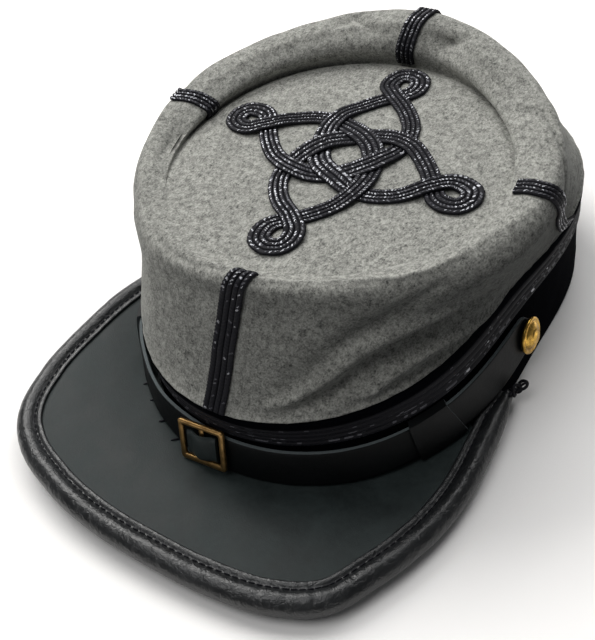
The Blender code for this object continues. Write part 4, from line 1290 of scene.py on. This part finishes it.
class KEPI_OT_keepers(bpy.types.Operator):
    """Wrap the two flat keepers round the strap"""
    bl_idname = "kepi.keepers"
    bl_label = "Keepers"

    def execute(self, context):
        count = 25
        at = np.linspace(0.0, 1.0, 15)
        edge = np.abs(2.0 * at - 1.0) ** 8
        for name, (front_top, front_foot, back_top, back_foot) in KEEPER_ROWS.items():
            part = np.linspace(0.0, 1.0, count)[:, None]
            top = front_top + (back_top - front_top) * part
            foot = front_foot + (back_foot - front_foot) * part
            tall = strap_height((top + foot) / 2.0)
            skins = []
            for clear in (GAP + KEEPER_THICK, GAP):
                over = clear / tall
                share = -over + (1.0 + 2.0 * over) * np.concatenate([at, at[::-1]])
                off = np.concatenate([clear + 0.15 * np.sin(np.pi * at) - 0.35 * edge,
                                      (0.35 * edge - STRAP_THICK - clear)[::-1]])
                skins.append(strap_point(foot + (top - foot) * share, share,
                                         np.broadcast_to(off, share.shape)))
            grid = np.concatenate([skins[0], skins[1][::-1]], 0)
            marks = np.zeros((2 * count, grid.shape[1]), int)
            marks[count - 1] = marks[2 * count - 1] = 1
            piece = Cut().grid(grid, round_rows=True, round_columns=True, finish=marks).make(
                name + "_leather", strap_leathers(), "strap_leather", 50.0)
            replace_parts(piece, name)
        return {'FINISHED'}


def rounded_line(wide, tall, corner, steps=8):
    """Points round a rectangle with rounded corners."""
    points = []
    for number, (sx, sz) in enumerate(((1, 1), (-1, 1), (-1, -1), (1, -1))):
        for k in range(steps + 1):
            turn = math.radians(90.0 * number + 90.0 * k / steps)
            points.append((sx * (wide - corner) + corner * math.cos(turn),
                           sz * (tall - corner) + corner * math.sin(turn)))
    return np.array(points)


class KEPI_OT_buckle(bpy.types.Operator):
    """Cast the buckle and bend its tab over the bar"""
    bl_idname = "kepi.buckle"
    bl_label = "Buckle"

    def execute(self, context):
        metal = context.scene.kepi.metal
        wide, tall = BUCKLE_SIZE[0] / 2.0, BUCKLE_SIZE[1] / 2.0
        outer = rounded_line(wide, tall, 1.4)
        hole = rounded_line(wide - BUCKLE_BAR, tall - BUCKLE_BAR, 0.6)
        loops = []
        for inward, out in BUCKLE_SECTION:
            line = outer * (1.0 - inward) + hole * inward
            loops.append(buckle_place(line[:, 0], line[:, 1], np.full(len(line), out)))
        cut = Cut().grid(np.stack(loops, 1), round_rows=True, round_columns=True)
        turn = np.linspace(0.0, 2.0 * np.pi, 14, endpoint=False)
        rise = np.linspace(-tall + 1.3, tall - 1.3, 24)
        bar = buckle_place(1.05 * np.cos(turn)[None, :], rise[:, None], 0.66 + 0.5 * np.sin(turn)[None, :])
        cut.grid(bar, round_columns=True, caps=True)
        brass = metal_finish("aged_brass", metal.brass, (0.16, 0.09, 0.035), 0.30, 0.7)
        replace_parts(cut.make("buckle_brass", [brass], "aged_brass", 45.0), "buckle")

        across = np.linspace(-6.6, 6.6, 60)
        out = open_column(TAB_ROWS, 1, across)
        low, high = -TAB_WIDTH / 2.0 - TAB_DROP, TAB_WIDTH / 2.0 - TAB_DROP
        up = np.concatenate([np.linspace(low, high, 19), np.linspace(high, low, 19)])
        edge = np.abs(np.linspace(-1.0, 1.0, 19)) ** 8
        thick = np.concatenate([TAB_THICK - 0.45 * edge, 0.12 * edge[::-1]])
        skin = buckle_place(across[:, None], up[None, :], out[:, None] + thick[None, :])
        colour = context.scene.kepi.leather.peak_colour
        leather = leather_finish("tab_leather", colour, 0.4, 0.5, 0.3)
        piece = Cut().grid(skin, round_columns=True, caps=True).make(
            "buckle_tab_leather", [leather], "peak_leather", 50.0)
        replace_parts(piece, "buckle_tab")
        return {'FINISHED'}


class KEPI_OT_buttons(bpy.types.Operator):
    """Strike the two gilt buttons with a raised rim and a lined field"""
    bl_idname = "kepi.buttons"
    bl_label = "Buttons"

    def execute(self, context):
        gilt = metal_finish("gilt", context.scene.kepi.metal.gilt, (0.16, 0.08, 0.02), 0.20, 0.8)
        for name, (angle, height) in BUTTON_ROWS.items():
            foot = float(open_column(STRAP_ROWS, 2, angle))
            share = (height - foot) / float(strap_height(angle))
            seat = strap_point(angle, share)
            side = unit(strap_point(angle + 2.0, share) - strap_point(angle - 2.0, share))
            rise = strap_point(angle, share + 0.3) - strap_point(angle, share - 0.3)
            away = unit(np.cross(side, rise))
            rise = unit(np.cross(away, side))
            turn = np.linspace(0.0, 2.0 * np.pi, 96, endpoint=False)[None, :]
            rim, rim_out = np.array(BUTTON_RIM).T
            dome = np.linspace(0.76, 0.02, 34)
            reach = np.concatenate([rim, dome])[:, None]
            out = np.concatenate([rim_out, BUTTON_DOME - BUTTON_DOME_DROP * (dome / rim[-1]) ** 2.0])[:, None]
            field = (reach < BUTTON_FIELD[1]) & (reach > BUTTON_FIELD[0])
            out = out + field * 0.10 * np.sin(turn * 48.0) - 0.25 * np.exp(-((reach - 0.75) / 0.03) ** 2)
            out = out + 0.22 * np.exp(-((reach - 0.40) / 0.035) ** 2)
            flat = side * (np.cos(turn) * reach)[..., None] + rise * (np.sin(turn) * reach)[..., None]
            grid = seat + flat * BUTTON_RADIUS + away * (BUTTON_STAND + out)[..., None]
            piece = Cut().grid(grid, round_columns=True, caps=True).make(name + "_gilt", [gilt], "gilt", 50.0)
            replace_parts(piece, name)
        return {'FINISHED'}


def set_camera(scene):
    """The camera as the cap was photographed."""
    azimuth, elevation, roll = map(math.radians, CAMERA_TURN)
    back = np.array((math.sin(azimuth) * math.cos(elevation), -math.cos(azimuth) * math.cos(elevation),
                     math.sin(elevation)))
    right = np.array((math.cos(azimuth), math.sin(azimuth), 0.0))
    up = np.cross(back, right)
    across = right * math.cos(roll) + up * math.sin(roll)
    over = -right * math.sin(roll) + up * math.cos(roll)
    spot = (CAMERA_AIM + back * CAMERA_DISTANCE + FRAME_SHIFT) * MM
    lens = bpy.data.cameras.new("camera")
    camera = bpy.data.objects.new("camera", lens)
    camera.matrix_world = Matrix([[across[k], over[k], back[k], spot[k]] for k in range(3)] + [[0, 0, 0, 1]])
    lens.sensor_width = SENSOR
    lens.lens = FOCAL_PIXELS / PICTURE[1] * SENSOR
    lens.shift_x = -(VIEW_MIDDLE[0] - PICTURE[0] / 2.0) / PICTURE[1]
    lens.shift_y = (VIEW_MIDDLE[1] - PICTURE[1] / 2.0) / PICTURE[1]
    lens.clip_start = 0.01
    scene.collection.objects.link(camera)
    scene.camera = camera


def lay_floor(scene):
    """The pale floor, lit a little from within where nothing stands near."""
    side = np.linspace(-FLOOR_REACH, FLOOR_REACH, FLOOR_CELLS)
    level = np.full((FLOOR_CELLS, FLOOR_CELLS), -FLOOR_DROP)
    floor = np.stack(np.meshgrid(side, side, indexing="ij") + [level], -1)
    mesh = bpy.data.meshes.new("floor")
    mesh.from_pydata(floor.reshape(-1, 3).tolist(), [], grid_faces(*floor.shape[:2]).tolist())
    base = scene.kepi.stage.floor_colour
    made = Finish("pale_floor")
    tone = made.noise(60.0, 3.0, 0.6)
    brushed = made.noise(1.2, 3.0, 0.6, place=made.stretched((0.0, 0.0, 0.6), (1.0, 0.05, 1.0)))
    colour = made.mix(made.between(tone, 0.3, 0.7), shade(base), shade(base, 1.03))
    open_air = made.add("ShaderNodeAmbientOcclusion", {"Distance": 0.09}, samples=8).outputs["AO"]
    glow = made.compute('MULTIPLY', made.compute('POWER', open_air, 4.0), FLOOR_GLOW)
    made.set(Base_Color=colour, Roughness=0.6, Normal=made.bump(brushed, 0.06, 0.2), Specular_IOR_Level=0.25,
             Emission_Color=(1.0, 0.97, 0.94, 1.0), Emission_Strength=glow)
    mesh.materials.append(made.material)
    ground = bpy.data.objects.new("floor", mesh)
    scene.collection.objects.link(ground)
    ground.visible_diffuse = False


def hang_lamps(scene):
    """Three round lamps: each one's name, turn, height, distance, size, power and colour."""
    stage = scene.kepi.stage
    for name, turn, rise, far, size, power, colour in (
            ("key", 250.0, 46.0, 1.3, 0.9, stage.key_power, (1.0, 0.99, 0.97)),
            ("back", 180.0, 55.0, 1.4, 1.0, stage.key_power * 0.6, (1.0, 1.0, 1.0)),
            ("above", 342.0, 66.0, 1.4, 0.9, stage.above_power, (1.0, 1.0, 1.0))):
        t, h = math.radians(turn), math.radians(rise)
        towards = Vector((math.sin(t) * math.cos(h), -math.cos(t) * math.cos(h), math.sin(h)))
        lamp = bpy.data.lights.new(name, 'AREA')
        lamp.shape = 'DISK'
        lamp.size = size
        lamp.energy = power
        lamp.color = colour
        light = bpy.data.objects.new(name, lamp)
        light.location = LAMP_AIM + towards * far
        light.rotation_mode = 'QUATERNION'
        light.rotation_quaternion = towards.to_track_quat('Z', 'Y')
        scene.collection.objects.link(light)


class KEPI_OT_stage(bpy.types.Operator):
    """Set the camera, the pale floor and the soft lights"""
    bl_idname = "kepi.stage"
    bl_label = "Stage"

    def execute(self, context):
        set_camera(context.scene)
        lay_floor(context.scene)
        hang_lamps(context.scene)
        world = bpy.data.worlds.new("studio")
        world.use_nodes = True
        sky = world.node_tree.nodes["Background"]
        sky.inputs["Color"].default_value = (0.95, 0.97, 1.0, 1.0)
        sky.inputs["Strength"].default_value = 0.10
        context.scene.world = world
        context.scene.view_settings.view_transform = 'Standard'
        return {'FINISHED'}


class KEPI_PT_panel(bpy.types.Panel):
    """Lists the cap's pieces and settings"""
    bl_idname = "KEPI_PT_panel"
    bl_label = "Kepi Cap"
    bl_space_type = 'VIEW_3D'
    bl_region_type = 'UI'
    bl_category = "Kepi"

    def draw(self, context):
        layout = self.layout
        kepi = context.scene.kepi
        for group in ("cloth", "braid", "leather", "metal", "stage"):
            box = layout.box()
            box.label(text=group.capitalize())
            settings = getattr(kepi, group)
            for name in settings.bl_rna.properties.keys():
                if name not in ("rna_type", "name"):
                    box.prop(settings, name)
        for step in OPERATORS:
            layout.operator(step.bl_idname)


OPERATORS = (
    KEPI_OT_stage, KEPI_OT_crown_wall, KEPI_OT_crown_top, KEPI_OT_band, KEPI_OT_strips, KEPI_OT_knot,
    KEPI_OT_peak, KEPI_OT_binding, KEPI_OT_stitches, KEPI_OT_strap, KEPI_OT_keepers, KEPI_OT_buckle,
    KEPI_OT_buttons,
)
CLASSES = (
    KepiClothSettings, KepiBraidSettings, KepiLeatherSettings, KepiMetalSettings, KepiStageSettings,
    KepiSettings, *OPERATORS, KEPI_PT_panel,
)


def register():
    for kind in CLASSES:
        bpy.utils.register_class(kind)
    bpy.types.Scene.kepi = PointerProperty(type=KepiSettings, name="Kepi", description="The cap's settings")


def unregister():
    del bpy.types.Scene.kepi
    for kind in reversed(CLASSES):
        bpy.utils.unregister_class(kind)


def main():
    register()
    for step in OPERATORS:
        group, name = step.bl_idname.split(".")
        getattr(getattr(bpy.ops, group), name)()


if __name__ == "__main__":
    main()
